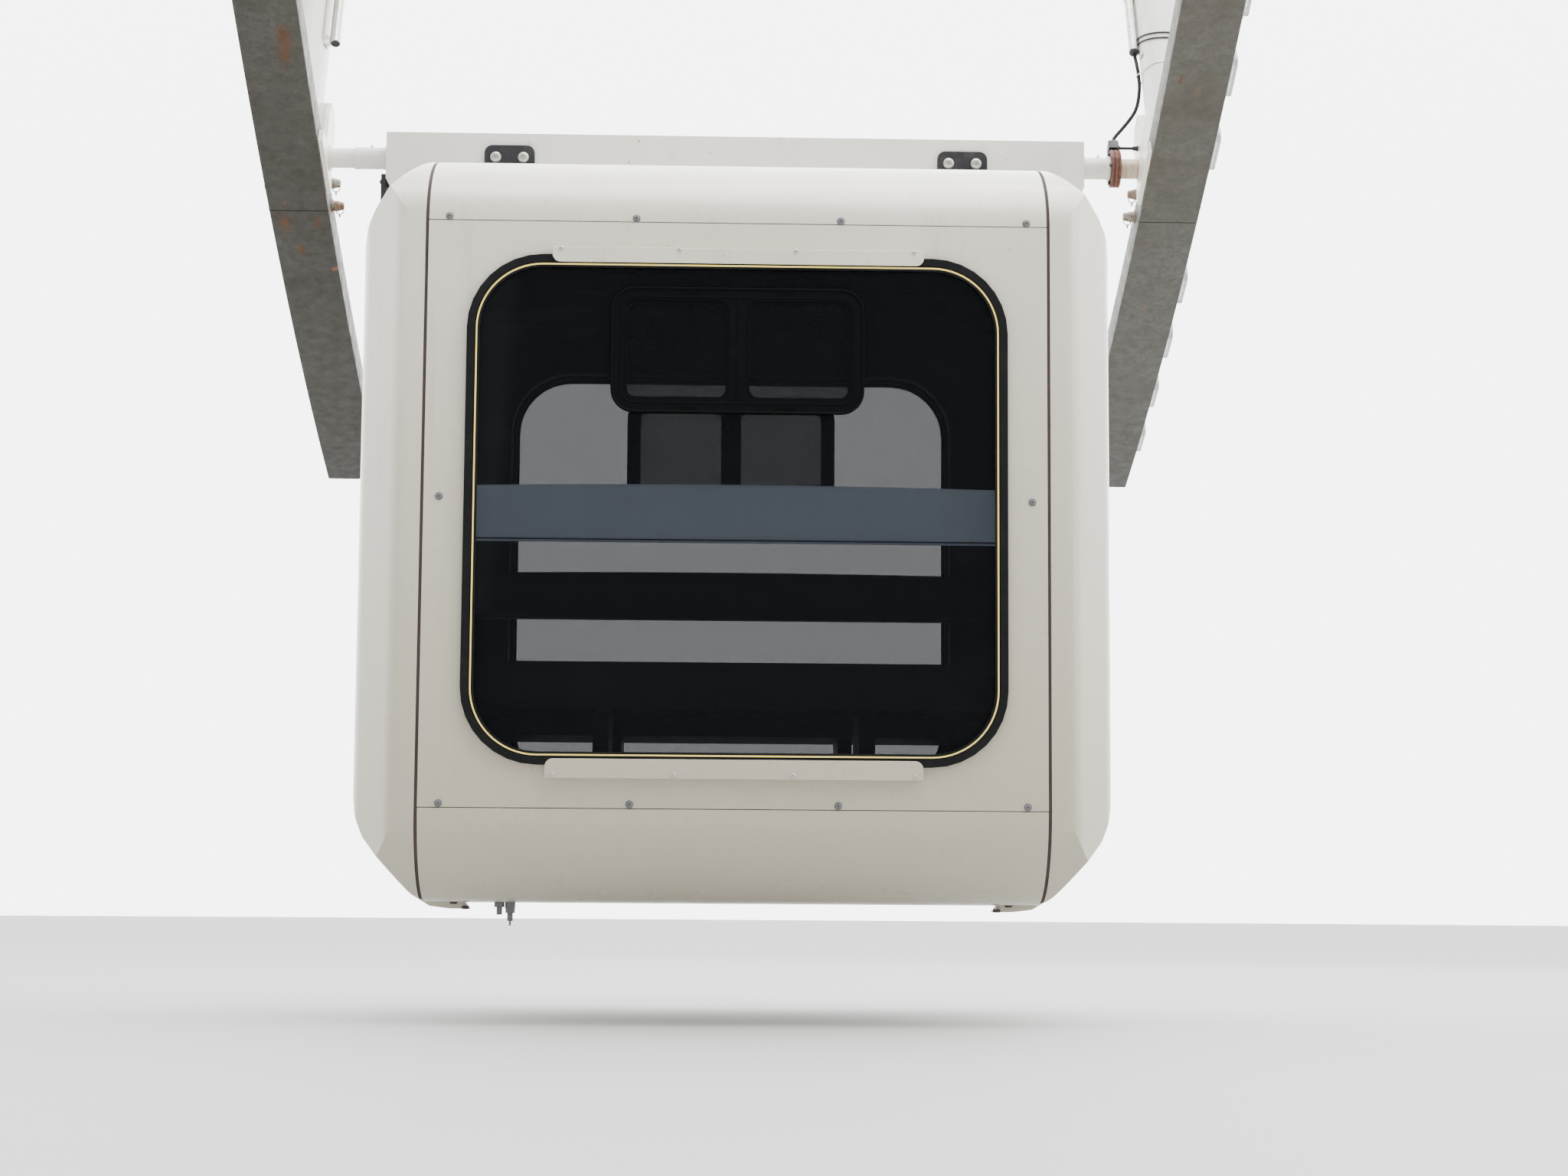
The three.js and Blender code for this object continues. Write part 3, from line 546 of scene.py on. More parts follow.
def carve(bm, cutters):
    """The solid in bm after booleans with (operation, bmesh) pairs."""
    def loose(source):
        bmesh.ops.recalc_face_normals(source, faces=source.faces)
        return object_of("carved", source)

    target = loose(bm)
    tools = []
    for operation, source in cutters:
        tool = loose(source)
        tools.append(tool)
        modifier = target.modifiers.new("carve", "BOOLEAN")
        modifier.operation = operation
        modifier.solver = "EXACT"
        modifier.object = tool
    bpy.context.view_layer.update()
    result = bmesh.new()
    result.from_object(target, bpy.context.evaluated_depsgraph_get())
    for obj in [target] + tools:
        bpy.data.meshes.remove(obj.data)
    bmesh.ops.remove_doubles(result, verts=result.verts, dist=0.02)
    bmesh.ops.dissolve_limit(result, angle_limit=math.radians(0.5), verts=result.verts, edges=result.edges)
    return result


def solid(make, *args):
    bm = bmesh.new()
    make(bm, *args)
    return bm


def mirrored(bm, matrix):
    copy = bm.copy()
    bmesh.ops.transform(copy, matrix=matrix, verts=copy.verts)
    return copy


def pair(name, bm, places, slot, replaces="", **details):
    """The same piece on both sides or at both ends, each with the node that it stands for."""
    for where, turn in places:
        node = replaces and f"{replaces}_{where}".rstrip("_")
        piece(f"{name}_{where}".rstrip("_"), mirrored(bm, turn), slot, replaces=node, **details)
    bm.free()


def made(slot, places=HERE, **details):
    """Makes the piece or pair that a function shapes, named after the function."""
    def make(shape):
        pair(shape.__name__, solid(shape), places, slot, **details)
        return shape
    return make


# The CAD nodes keep their shape, and get their finish and softened edges
EDGE = {
    "cross_beam": 8, "hanger": 1.5, "end_panel": 1.2, "door_right": 2, "door_left": 2, "bench": 6,
    "window_seal": 2.5, "vent_frame": 2, "rim": 1.5, "node_bracket": 2, "spoke": 2, "splice_spigot": 1.5,
    "slip_ring": 1.5, "shaft": 2,
}
for row in frame["record"]["subparts"]:
    name = row["node"]
    finish = "matt_black" if name.startswith("vent_frame") else row["material_slot"]
    width = next((value for key, value in EDGE.items() if name.startswith(key)), 0)
    dress(frame["nodes"][name], finish, width)


# Power cable from the conduit on the right spoke to the brush holder
CABLE_ROUTE = (
    (1146.7, 199.7, 397), (1147.9, 191.2, 381.3), (1149.4, 182.8, 365.5), (1150.7, 174.5, 349.7),
    (1151.8, 166.2, 333.8), (1152.4, 158.2, 317.8), (1152.6, 150.4, 301.7), (1152.3, 142.8, 285.4),
    (1151, 135.6, 269.1), (1148.9, 128.7, 252.7), (1145.9, 121.9, 236.4), (1142.1, 115.2, 220.2),
    (1137, 108.6, 204.4), (1129.9, 102, 189.3), (1121.1, 95.5, 175.1), (1111.4, 89.1, 161.5),
    (1101.3, 82.6, 148.2), (1091.1, 75.5, 135.2), (1080.8, 68.1, 122.5), (1071, 59.9, 110),
    (1063.2, 50.3, 97.1), (1060, 41.3, 82.1),
)
CABLE_RADIUS = 0.005


def power_cable():
    curve = bpy.data.curves.new("power_cable_run", "CURVE")
    curve.dimensions = "3D"
    curve.bevel_depth = CABLE_RADIUS
    curve.bevel_resolution = 4
    curve.resolution_u = 6
    curve.use_fill_caps = True
    spline = curve.splines.new("BEZIER")
    spline.bezier_points.add(len(CABLE_ROUTE) - 1)
    for knot, point in zip(spline.bezier_points, CABLE_ROUTE):
        knot.co = CABIN @ Vector(point)
        knot.handle_left_type = knot.handle_right_type = "AUTO"
    curve.materials.append(MATERIALS["rubber"])
    obj = linked("power_cable_run", curve)
    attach(obj, "wheel_bay")
    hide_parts("power_cable")


power_cable()

# Cabin shells, with rounder corners than the solids
HALF_WIDTH, HALF_LENGTH, TOP, BOTTOM, WALL = 943, 780, -130, -2050, 25
SEAM_X, SEAM_HALF, TOP_SEAM, LOW_SEAM, LAP_HALF = 775, 4, -362, -1822, 1.2
ROOF_RUN, SKIRT_RUN, BEVEL_SIDE, BEVEL_END = 420, 240, 110, 105
DOOR_HALF, DOOR_LOW, DOOR_HIGH, DOOR_CORNER = 345, -1760, -435, 60
OUTER_FILLET, INNER_FILLET = 70, 40
INNER_FROM, DOORWAY_FROM, FAR = 700, 800, 3000


def side_outline(distance=0.0, steps=28):
    """The cabin's profile along Y and Z, moved inward by a distance."""
    roof_y, skirt_y = HALF_LENGTH - ROOF_RUN, HALF_LENGTH - SKIRT_RUN
    roof = (ROOF_RUN - distance, TOP - TOP_SEAM - distance)
    skirt = (SKIRT_RUN - distance, LOW_SEAM - BOTTOM - distance)
    corners = ((roof_y, TOP_SEAM, roof), (-roof_y, TOP_SEAM, roof), (-skirt_y, LOW_SEAM, skirt),
               (skirt_y, LOW_SEAM, skirt))
    points = []
    for turn, (y, z, radii) in enumerate(corners):
        points += arc(y, z, *radii, 90 * turn, 90 * turn + 90, steps)
    return points


def inset(loop, distance):
    """A loop moved inward by a distance."""
    lines = []
    for (ax, ay), (bx, by) in zip(loop, loop[1:] + loop[:1]):
        along = Vector((bx - ax, by - ay)).normalized()
        lines.append((Vector((ax, ay)) + distance * Vector((-along.y, along.x)), along))
    points = []
    for (before, along_before), (point, along) in zip(lines[-1:] + lines, lines):
        t = (point - before).cross(along) / along_before.cross(along)
        points.append(tuple(before + t * along_before))
    return points


def filleted(loop, radius, steps=6):
    """Corners of a loop replaced by arcs, shorter where the edges are short."""
    points = []
    count = len(loop)
    for i in range(count):
        before, corner, after = (Vector(loop[(i + k - 1) % count]) for k in range(3))
        back, ahead = before - corner, after - corner
        half_turn = (math.pi - back.angle(ahead)) / 2
        cut = min(radius * math.tan(half_turn), 0.46 * back.length, 0.46 * ahead.length)
        start, end = corner + back.normalized() * cut, corner + ahead.normalized() * cut
        for k in range(steps + 1):
            t = k / steps
            points.append(tuple((1 - t) ** 2 * start + 2 * t * (1 - t) * corner + t * t * end))
    return points


HALF_END = [(782, BOTTOM), (912, -1893), (933, -1845), (HALF_WIDTH, -1780), (HALF_WIDTH, -410), (935, -360),
            (914, -318), (765, TOP)]
END_OUTLINE = HALF_END + [(-x, z) for x, z in reversed(HALF_END)]
PLAN_QUARTER = [(HALF_WIDTH, HALF_LENGTH - BEVEL_SIDE), (HALF_WIDTH - BEVEL_END, HALF_LENGTH)]
PLAN_HALF = PLAN_QUARTER + [(-x, y) for x, y in reversed(PLAN_QUARTER)]
PLAN_OUTLINE = PLAN_HALF + [(-x, -y) for x, y in PLAN_HALF]


def cabin_cutters(distance, radius):
    end = filleted(inset(END_OUTLINE, distance), radius)
    plan = filleted(inset(PLAN_OUTLINE, distance), radius)
    return [("INTERSECT", solid(prism, loop, axis, -FAR, FAR)) for loop, axis in ((end, "Y"), (plan, "Z"))]


def side_shell():
    inside = solid(prism, side_outline(WALL), "X", INNER_FROM, FAR / 2)
    inner = carve(inside, cabin_cutters(WALL, INNER_FILLET))
    door = rounded(2 * DOOR_HALF, DOOR_HIGH - DOOR_LOW, DOOR_CORNER, 0, (DOOR_HIGH + DOOR_LOW) / 2)
    doorway = solid(prism, door, "X", DOORWAY_FROM, FAR)
    cuts = cabin_cutters(0, OUTER_FILLET) + [("DIFFERENCE", inner), ("DIFFERENCE", doorway)]
    return carve(solid(prism, side_outline(), "X", SEAM_X + SEAM_HALF, FAR / 2), cuts)


pair("side_moulding", side_shell(), SIDES, "white_shell", "side_shell", bevel=2.5, smooth=24)


def strip(low, high):
    """The centre strip of the shell between two heights, rounded toward the seams."""
    side, seam = (-1, high) if low < LOW_SEAM else (1, low)
    loops = []
    for inward in (0, WALL):
        end = side * (HALF_LENGTH - inward)
        middle = [point for point in side_outline(inward) if low <= point[1] <= high]
        loops.append([(end, seam)] + middle + [(-end, seam)])
    section = loops[0] + loops[1][::-1]
    reach = SEAM_X - SEAM_HALF
    falls = ((reach, 9.0), (reach - 5, 4.6), (reach - 11, 1.8), (reach - 18, 0.4), (reach - 27, 0.0))
    stations = [(-x, fall) for x, fall in falls] + [(x, fall) for x, fall in reversed(falls)]
    bm = solid(loft, [[Vector((x, y, min(z, TOP - fall))) for y, z in section] for x, fall in stations])
    bmesh.ops.remove_doubles(bm, verts=bm.verts, dist=0.01)
    return bm


for where, low, high in (("roof", TOP_SEAM + LAP_HALF, FAR), ("belly", -FAR, LOW_SEAM - LAP_HALF)):
    piece(f"{where}_moulding", strip(low, high), "white_shell", replaces=f"{where}_skin",
          bevel=1.5, smooth=24)


@made("rubber", SIDES, bevel=1, finish="dusty_rubber")
def seam_gasket(bm):
    """Dusty rubber in the groove beside each side moulding."""
    top, low = TOP - 14.3, BOTTOM + 3.6
    outer, inner = (
        [(y, max(low + depth, min(z, top - depth))) for y, z in side_outline(depth)] for depth in (3.2, 7.8)
    )
    half = SEAM_HALF - 0.1
    hoop(bm, outer, inner, "X", SEAM_X - half, SEAM_X + half)


# End windows: light line in the seal, clamp strips, screws, vent trim
FACE = -HALF_LENGTH
WINDOW_Z, WINDOW_W, WINDOW_H, WINDOW_R = -1083, 1343, 1268, 188
LIP_FRONT = FACE - 14
LIGHT_FROM, LIGHT_TO = 22.3, 26.1


def window_loop(distance):
    return rounded(WINDOW_W - 2 * distance, WINDOW_H - 2 * distance, WINDOW_R - distance, 0, WINDOW_Z, 16)


def clamp_strip(upper):
    """A strip screwed to the panel that holds the seal: square away from the window, round toward it."""
    half, corner = 462, 20
    far, near, step = (-431, -469, -447) if upper else (-1750, -1702, -1715)
    up = 1 if upper else -1
    turn_to = near + up * corner
    ends = [(-half, far), (-half, turn_to)]
    ends += [(-half + corner - corner * math.cos(a), turn_to - up * corner * math.sin(a))
             for a in (0.26, 0.52, 0.79, 1.05, 1.31, 1.57)]
    loop = ends + [(-x, z) for x, z in reversed(ends)]
    bm = solid(prism, loop, "Y", LIP_FRONT - 5.5, LIP_FRONT - 1)
    block(bm, -half + 1, half - 1, LIP_FRONT - 2, FACE, min(far - up, step), max(far - up, step))
    return bm


CLAMP_SCREWS = {True: ((-441, -147, 143, 438), -436), False: ((-445, -148, 144, 443), -1740)}
PANEL_SCREWS = [(x, z) for z in (-353, -1812) for x in (-720, -255, 255, 720)]
PANEL_SCREWS += [(x, -1058) for x in (-733, 733)]
VENT_Z, VENT_W, VENT_H, VENT_R, VENT_BORDER, VENT_MULLION = -687, 629, 316, 58, 33, 44
SASH_W, SASH_H = (VENT_W - 2 * VENT_BORDER - VENT_MULLION) / 2, VENT_H - 2 * VENT_BORDER
SASH_X, CATCH_X = (SASH_W + VENT_MULLION) / 2, 120


@made("black_metal", ENDS, bevel=0.8, finish="matt_black")
def vent_trim(bm):
    """Rounded lips of the frame, the two sliding sashes, their catches and the bar between them."""
    for grow, thick in ((-3, 3.2), (-VENT_BORDER + 8, 1.8)):
        loop = rounded(VENT_W + 2 * grow, VENT_H + 2 * grow, max(VENT_R + grow, 20), 0, VENT_Z, 8)
        tube(bm, [Vector((x, LIP_FRONT, z)) for x, z in loop], thick, 8, True)
    for x in (-SASH_X, SASH_X):
        outer = rounded(SASH_W + 2, SASH_H + 2, 26, x, VENT_Z)
        inner = rounded(SASH_W - 16, SASH_H - 16, 20, x, VENT_Z)
        hoop(bm, outer, inner, "Y", LIP_FRONT + 2.5, LIP_FRONT + 7.5)
    for x in (-CATCH_X, CATCH_X):
        for z in (VENT_Z - VENT_H / 2 + 13, VENT_Z + VENT_H / 2 - 13):
            outer, inner = rounded(46, 6, 2.9, x, z), rounded(42, 2.6, 1.2, x, z)
            hoop(bm, outer, inner, "Y", LIP_FRONT - 1.2, LIP_FRONT + 1)
    block(bm, -2.5, 2.5, LIP_FRONT - 1.6, LIP_FRONT + 1, VENT_Z - SASH_H / 2, VENT_Z + SASH_H / 2)


@made("tinted_glass", ENDS)
def vent_panes(bm):
    for x in (-SASH_X, SASH_X):
        prism(bm, rounded(SASH_W - 15, SASH_H - 15, 20, x, VENT_Z), "Y", LIP_FRONT + 4, LIP_FRONT + 6)


@made("steel", ENDS, finish="dull_grey")
def panel_screws(bm):
    for x, z in PANEL_SCREWS:
        dome(bm, (x, FACE, z), TO_FRONT, 8, 4.2, 9.8)


def clamp_screws(bm, upper):
    xs, z = CLAMP_SCREWS[upper]
    for x in xs:
        dome(bm, (x, LIP_FRONT - 5.5, z), TO_FRONT, 6.3, 3.2)


light = solid(hoop, window_loop(LIGHT_FROM), window_loop(LIGHT_TO), "Y", LIP_FRONT + 1.2, LIP_FRONT + 4.6)
pair("light_line", light, ENDS, "lens", bevel=0.8, finish="light_line")
for upper, where in ((True, "upper"), (False, "lower")):
    pair(f"clamp_strip_{where}", clamp_strip(upper), ENDS, "white_shell", bevel=1.2)
    pair(f"clamp_screws_{where}", solid(clamp_screws, upper), ENDS, "steel")

# Doors: gasket in the gap, window seal, handle and hinges
GLASS_LOW, GLASS_HIGH, GLASS_W, GLASS_R = -1180, -520, 470, 70
OUT = HALF_WIDTH
HANDLE_AT = (262, -1330)
HINGES_Z, HINGE_AXIS_Y, HINGE_LEAVES_Y = (-1600, -1270, -600), -352, (-383, -321)
HINGE_KNUCKLES = ((-48, -17), (-16, 16), (17, 48))


def side_frame(bm, width, low, high, corner, outside, inside, steps, start, end):
    """A frame on the cabin's side between a rounded opening grown by one distance and by another."""
    outer, inner = (
        rounded(width + 2 * grow, high - low + 2 * grow, corner + grow, 0, (low + high) / 2, steps)
        for grow in (outside, inside)
    )
    hoop(bm, outer, inner, "X", OUT + start, OUT + end)


@made("rubber", SIDES, bevel=1)
def door_gasket(bm):
    side_frame(bm, 2 * DOOR_HALF, DOOR_LOW, DOOR_HIGH, DOOR_CORNER, -0.4, -4.6, 10, -16, -3.5)


@made("rubber", SIDES, bevel=2)
def door_window_seal(bm):
    side_frame(bm, GLASS_W, GLASS_LOW, GLASS_HIGH, GLASS_R, 11, -11, 12, -7, 4.5)


@made("steel", SIDES, bevel=1)
def door_handle(bm):
    """Backplate, pull lever on two posts, and the lock between them."""
    y, z = HANDLE_AT
    prism(bm, rounded(52, 210, 14, y, z), "X", OUT, OUT + 5)
    bend = [(4, 68), (24, 68), (33, 60), (35, 44)]
    lever = [(OUT + x, y, z + dz) for x, dz in bend] + [(OUT + x, y, z - dz) for x, dz in reversed(bend)]
    tube(bm, lever, 8.5, 14)
    lathe(bm, (OUT + 5, y, z), TO_RIGHT, [(17, -1), (17, 5), (14, 8), (7.5, 8), (7.0, 3)], 24)
    for dz in (-92, 92):
        dome(bm, (OUT + 5, y, z + dz), TO_RIGHT, 5, 2.6)


@made("steel", SIDES, bevel=0.8)
def door_hinges(bm):
    for z in HINGES_Z:
        for y in HINGE_LEAVES_Y:
            prism(bm, rounded(58, 96, 7, y, z), "X", OUT, OUT + 4)
        for low, high in HINGE_KNUCKLES:
            length = high - low
            profile = [(6, 0), (8, 1), (8, length - 1), (6, length)]
            lathe(bm, (OUT + 7.5, HINGE_AXIS_Y, z + low), UP, profile, 16)
        for y in (-395, -372, -332, -309):
            for dz in (-30, 30):
                dome(bm, (OUT + 4, y, z + dz), TO_RIGHT, 4.5, 2.4)


# Hangers, beam and axle
BEAM_HALF, BEAM_HIGH, BEAM_DEPTH, PLATE_X, PLUG_X, PLUG_Z = 965, 60, 120, 880, -566, 38
HANGER_X, HANGER_THICK, HANGER_PIN_Z, HANGER_FOOT, HANGER_BOLT_X = 625, 10, -10.5, 26, 38
HANGER_FACE = -BEAM_DEPTH / 2 - 0.3 - HANGER_THICK
SLIP_FROM, SLIP_TO, SLIP_RADIUS, SLIP_BOLTS_RADIUS = 1045.5, 1071, 52.5, 41
NIPPLE_X, RIGHT_SHOULDER, LEFT_SHOULDER, SLEEVE_FROM = 1012, 1035, -1040, 1072


@made("steel", ENDS)
def hanger_bolts(bm):
    for sx in (-1, 1):
        for dx in (-HANGER_BOLT_X, HANGER_BOLT_X):
            x = sx * HANGER_X + dx
            lathe(bm, (x, HANGER_FACE, HANGER_PIN_Z), TO_FRONT,
                  [(15.5, -1), (15.5, 2), (14.6, 5.5), (12, 8.2), (8, 9.4), (5.2, 9.7), (4.8, 6)], 28)
            bolt(bm, (x, HANGER_FACE - HANGER_FOOT, TOP + 9.5), UP, 17, 8, 12, 5)


@made("white_steel", bevel=1)
def beam_details(bm):
    """Weld beads round the shafts, the plug on the front face, and a screwed plate on top of each end."""
    for side in (-1, 1):
        bead(bm, (side * (BEAM_HALF + 1), 0, 0), TO_RIGHT, 36, 2.6)
    lathe(bm, (PLUG_X, -BEAM_DEPTH / 2, PLUG_Z), TO_FRONT, [(9, -1), (9, 1), (6.5, 2.2), (2.5, 2.5)], 20)
    for x in (-PLATE_X, PLATE_X):
        block(bm, x - 40, x + 40, -46, 46, BEAM_HIGH - 1, BEAM_HIGH + 3)
        for y in (-32, 32):
            for dx in (-28, 28):
                dome(bm, (x + dx, y, BEAM_HIGH + 3), UP, 6, 3.2)


@made("black_metal", bevel=1.5)
def beam_stop(bm):
    """Black stop plate on the lower half of the beam's left end."""
    x = -BEAM_HALF
    block(bm, x - 14, x - 0.5, -50, 50, -160, -56)
    for y in (-30, 30):
        lathe(bm, (x - 14, y, -74), TO_LEFT, [(7, -1), (7, 4), (5, 5.5)], 6)


@made("white_steel", bevel=0.6)
def axle_rings(bm):
    """Grease nipples by the beam, a ring at the right shoulder and a longer shoulder on the left."""
    for side in (-1, 1):
        lathe(bm, (side * NIPPLE_X, 0, 29), UP, [(4.5, 0), (4.5, 6), (3, 8)], 6)
    lathe(bm, (RIGHT_SHOULDER, 0, 0), TO_RIGHT, [(30, 0), (34.5, 0.8), (34.5, 7.2), (30, 8)], 32)
    lathe(bm, (LEFT_SHOULDER, 0, 0), TO_LEFT, [(29, 0), (30.6, 0.6), (30.6, 17), (29, 18)], 40)


def shaft_sleeve(bm):
    """The bare, worn length of a shaft past its shoulder."""
    lathe(bm, (SLEEVE_FROM, 0, 0), TO_RIGHT, [(26, 0), (27.3, 0.4), (27.3, 50.2), (26, 50.6)], 40)


for (name, turn), finish in zip(SIDES, ("bare_shaft", "white_steel")):
    piece(f"shaft_sleeve_{name}", mirrored(solid(shaft_sleeve), turn), "white_steel", finish=finish)


@made("rusty_steel", replaces="slip_ring")
def slip_ring_tracks(bm):
    """Ring with two grooves between its tracks."""
    profile = [(45, 0), (51.4, 0), (52.5, 1.2), (52.5, 5.5), (49.5, 6), (49.5, 9.5), (52.5, 10),
               (52.5, 15.5), (49.5, 16), (49.5, 19.5), (52.5, 20), (52.5, 24.3), (51.4, 25.5), (45, 25.5)]
    lathe(bm, (SLIP_FROM, 0, 0), TO_RIGHT, profile, 64)


@made("black_metal", bevel=0.4)
def slip_ring_bolts(bm):
    for y, z in circle(SLIP_BOLTS_RADIUS, 4):
        lathe(bm, (SLIP_FROM, y, z), TO_LEFT, [(7, -1), (7, 1), (5.8, 1.5)], 20)
        lathe(bm, (SLIP_FROM - 1.5, y, z), TO_LEFT, [(5.5, -0.5), (5.5, 4), (4.6, 5.2)], 6)


# Under the belly
LUG_FRONT, LUG_BACK = -500, -420


@made("steel", finish="dull_grey")
def floor_glands(bm):
    """Two grey glands with their stubs under the belly, one of them with its cable's end."""
    nut = [(12, 0), (13, 1.2), (13, 20), (12, 21)]
    lock = [(11, 0), (12, 1.2), (12, 10.5), (11, 11.5)]
    stub = [(7.2, 0), (7.2, 19.5), (6.2, 21)]
    tail = [(7.2, 0), (7.2, 19), (6.2, 20.5), (2.4, 20.5), (2.4, 32)]
    for x, z, profile, segments in ((-586, 8, nut, 6), (-586, -11, stub, 16), (-559, 4, nut, 6),
                                    (-559, -16, lock, 6), (-559, -27, tail, 16)):
        lathe(bm, (x, LUG_FRONT, BOTTOM + z), DOWN, profile, segments)


@made("white_shell", FROM_LEFT, bevel=1.5)
def low_lug(bm):
    """Lug under the skirt near a front corner, cut off on a slant toward the outside."""
    outline = [(-679, 3), (-664, -18), (-714, -17), (-762, -11), (-793, 8), (-800, 26), (-782, 16),
               (-770, 3)]
    prism(bm, [(x, BOTTOM + z) for x, z in outline], "Y", LUG_FRONT, LUG_BACK)


@made("steel", FROM_LEFT, finish="dusty_rubber")
def low_lug_bolts(bm):
    """Dark bolt heads at the lug's edges."""
    for x, z in ((-701, BOTTOM + 3), (-671, BOTTOM - 10)):
        lathe(bm, (x, LUG_FRONT - 7, z), DOWN, [(9.3, 0), (9.3, 6.5), (7.5, 8.5)], 6)


# The bay of the wheel
WHEEL_RADIUS, RIM_X, RIM_WIDTH, RIM_WALL = 10410, 1226, 167, 8
RIM_HUB_SIDE, RIM_FAR_SIDE = 24, 60
LAMP_LENGTH, LAMP_HEIGHT, LAMP_PITCH, RIB_PITCH = 148, 70, 289, 26
SPLICE, SPLICE_GAP, PINS = 156, 3, {"upper": 107, "lower": 205}
RIM_IN = RIM_X - RIM_WIDTH / 2
RIM_OUT = RIM_X + RIM_WIDTH / 2
BAY_HALF_ANGLE = math.radians(9)
SPOKE_RADIUS, SPOKE_FOOT, FLANGE_BACK = 65, 38.9, 1982
FOOT_BOLT_X, FOOT_BOLT_Y = 62, 88
CONDUIT_X, CONDUIT_LOW, CONDUIT_RADIUS = 1146.7, 445, 14
CONDUIT_TIES_Z, CONDUIT_CLIPS_Z = (820, 1170, 1520, 1840), (650, 1000, 1350, 1700)
BAND_LOWS, BAND_RISE = (442, 462), 32
CABLE_TIE_X, CABLE_TIE_LOW, CABLE_TIE_HIGH = 1152.6, 350, 354


def on_rim(length):
    """The turn about the wheel's axis that carries the axle's place along the rim by a length."""
    hub = Matrix.Translation((0, 0, WHEEL_RADIUS))
    return hub @ Matrix.Rotation(length / WHEEL_RADIUS, 4, "X") @ hub.inverted()


def along_rim(section, stations):
    """A loop in X and Z carried to each of some lengths along the rim."""
    return [[on_rim(length) @ Vector((x, 0, z)) for x, z in section] for length in stations]


def rim_girder(start, end):
    """Hollow box with rounded corners that follows the wheel's circle between two lengths along the rim."""
    depth = RIM_HUB_SIDE + RIM_FAR_SIDE
    middle = (RIM_HUB_SIDE - RIM_FAR_SIDE) / 2
    outer = rounded(RIM_WIDTH, depth, 4, RIM_X, middle, 4)
    inner = rounded(RIM_WIDTH - 2 * RIM_WALL, depth - 2 * RIM_WALL, 3, RIM_X, middle, 4)
    steps = 40
    stations = [start + (end - start) * i / steps for i in range(steps + 1)]
    rings = along_rim(outer, stations) + along_rim(inner, reversed(stations))
    return solid(loft, rings, True)


def splice_pin(length):
    """Headed pin through the splice, with a washer and a tapered end on the cabin's side."""
    at = on_rim(length) @ Vector((RIM_IN, 0, 0))
    head = -RIM_WIDTH - 10
    profile = [(18.5, head), (20, head + 1.5), (20, head + 9.5), (11.8, head + 9.7), (11.8, -0.2),
               (18.5, -0.1), (18.5, 2.6), (17.6, 3.4), (15, 3.4), (15, 15), (13.6, 19), (10.4, 32.5),
               (8.8, 34)]
    return solid(lathe, at, TO_LEFT, profile, 32)


@made("steel", SIDES, body="wheel_bay")
def pin_rings(bm):
    """Wire ring that hangs in the cross hole of each pin."""
    down = Matrix.Rotation(-BAY_TURN, 3, "X") @ Vector((0, 0, -1))
    ahead = Matrix.Rotation(-BAY_TURN, 3, "X") @ Vector((0, -1, 0.25))
    for length in PINS.values():
        at = on_rim(length) @ Vector((RIM_IN - 22, 0, 0))
        bead(bm, at + down * 15, ahead, 10, 1.5, 30, 8)
        tube(bm, [at + down * 25, at + down * 33], 2.6)


@made("white_steel", SIDES, body="wheel_bay", bevel=1)
def spoke_fittings(bm):
    """Weld beads, foot bolts and the flange's gussets."""
    bead(bm, (RIM_X, 0, SPOKE_FOOT + 1), UP, SPOKE_RADIUS + 2, 5)
    bead(bm, (RIM_X, 0, FLANGE_BACK - 1), UP, SPOKE_RADIUS + 2, 5)
    for x in (-FOOT_BOLT_X, FOOT_BOLT_X):
        for y in (-FOOT_BOLT_Y, FOOT_BOLT_Y):
            bolt(bm, (RIM_X + x, y, SPOKE_FOOT), UP, 24, 12, 17, 8)
    flange = Vector((RIM_X, 0, FLANGE_BACK))
    corners = [(SPOKE_RADIUS - 2, 0), (112, 0), (112, -12), (SPOKE_RADIUS - 2, -70)]
    for x, y in circle(1, 3):
        out, across = Vector((-y, x, 0)), Vector((-x, -y, 0)) * 4
        loft(bm, [[flange + out * r + Vector((0, 0, h)) + across * s for r, h in corners] for s in (-1, 1)])


def tie_loop(x, radius, grow):
    """A band's outline round the spoke and something round that lies along it."""
    large, small = SPOKE_RADIUS + 0.5 + grow, radius + 0.5 + grow
    split = 180 - math.degrees(math.acos((large - small) / (RIM_X - x)))
    return arc(RIM_X, 0, large, large, -split, split, 48) + arc(x, 0, small, small, split, 360 - split, 12)


@made("black_metal", SIDES, body="wheel_bay", bevel=0.4)
def spoke_ties(bm):
    """Black ties that hold the conduit on the spoke, each with its lock."""
    outer, inner = (tie_loop(CONDUIT_X, CONDUIT_RADIUS, grow) for grow in (2.2, 0))
    for z in CONDUIT_TIES_Z:
        hoop(bm, outer, inner, "Z", z, z + 7)
        block(bm, CONDUIT_X + 18, CONDUIT_X + 30, -39, -28, z - 1.5, z + 8.5)


@made("black_metal", body="wheel_bay")
def leaning_bands(bm):
    """Two black bands round the right spoke alone, higher at the back than at the front."""
    radius = SPOKE_RADIUS + 2.6
    for low in BAND_LOWS:
        points = [(RIM_X + radius * x, radius * y, low + BAND_RISE * (1 + y)) for x, y in circle(1, 48)]
        tube(bm, points, 2.5, 8, True)


@made("steel", body="wheel_bay")
def cable_tie(bm):
    outer, inner = (tie_loop(CABLE_TIE_X, CABLE_RADIUS * 1000, grow) for grow in (1.6, 0))
    hoop(bm, outer, inner, "Z", CABLE_TIE_LOW, CABLE_TIE_HIGH)


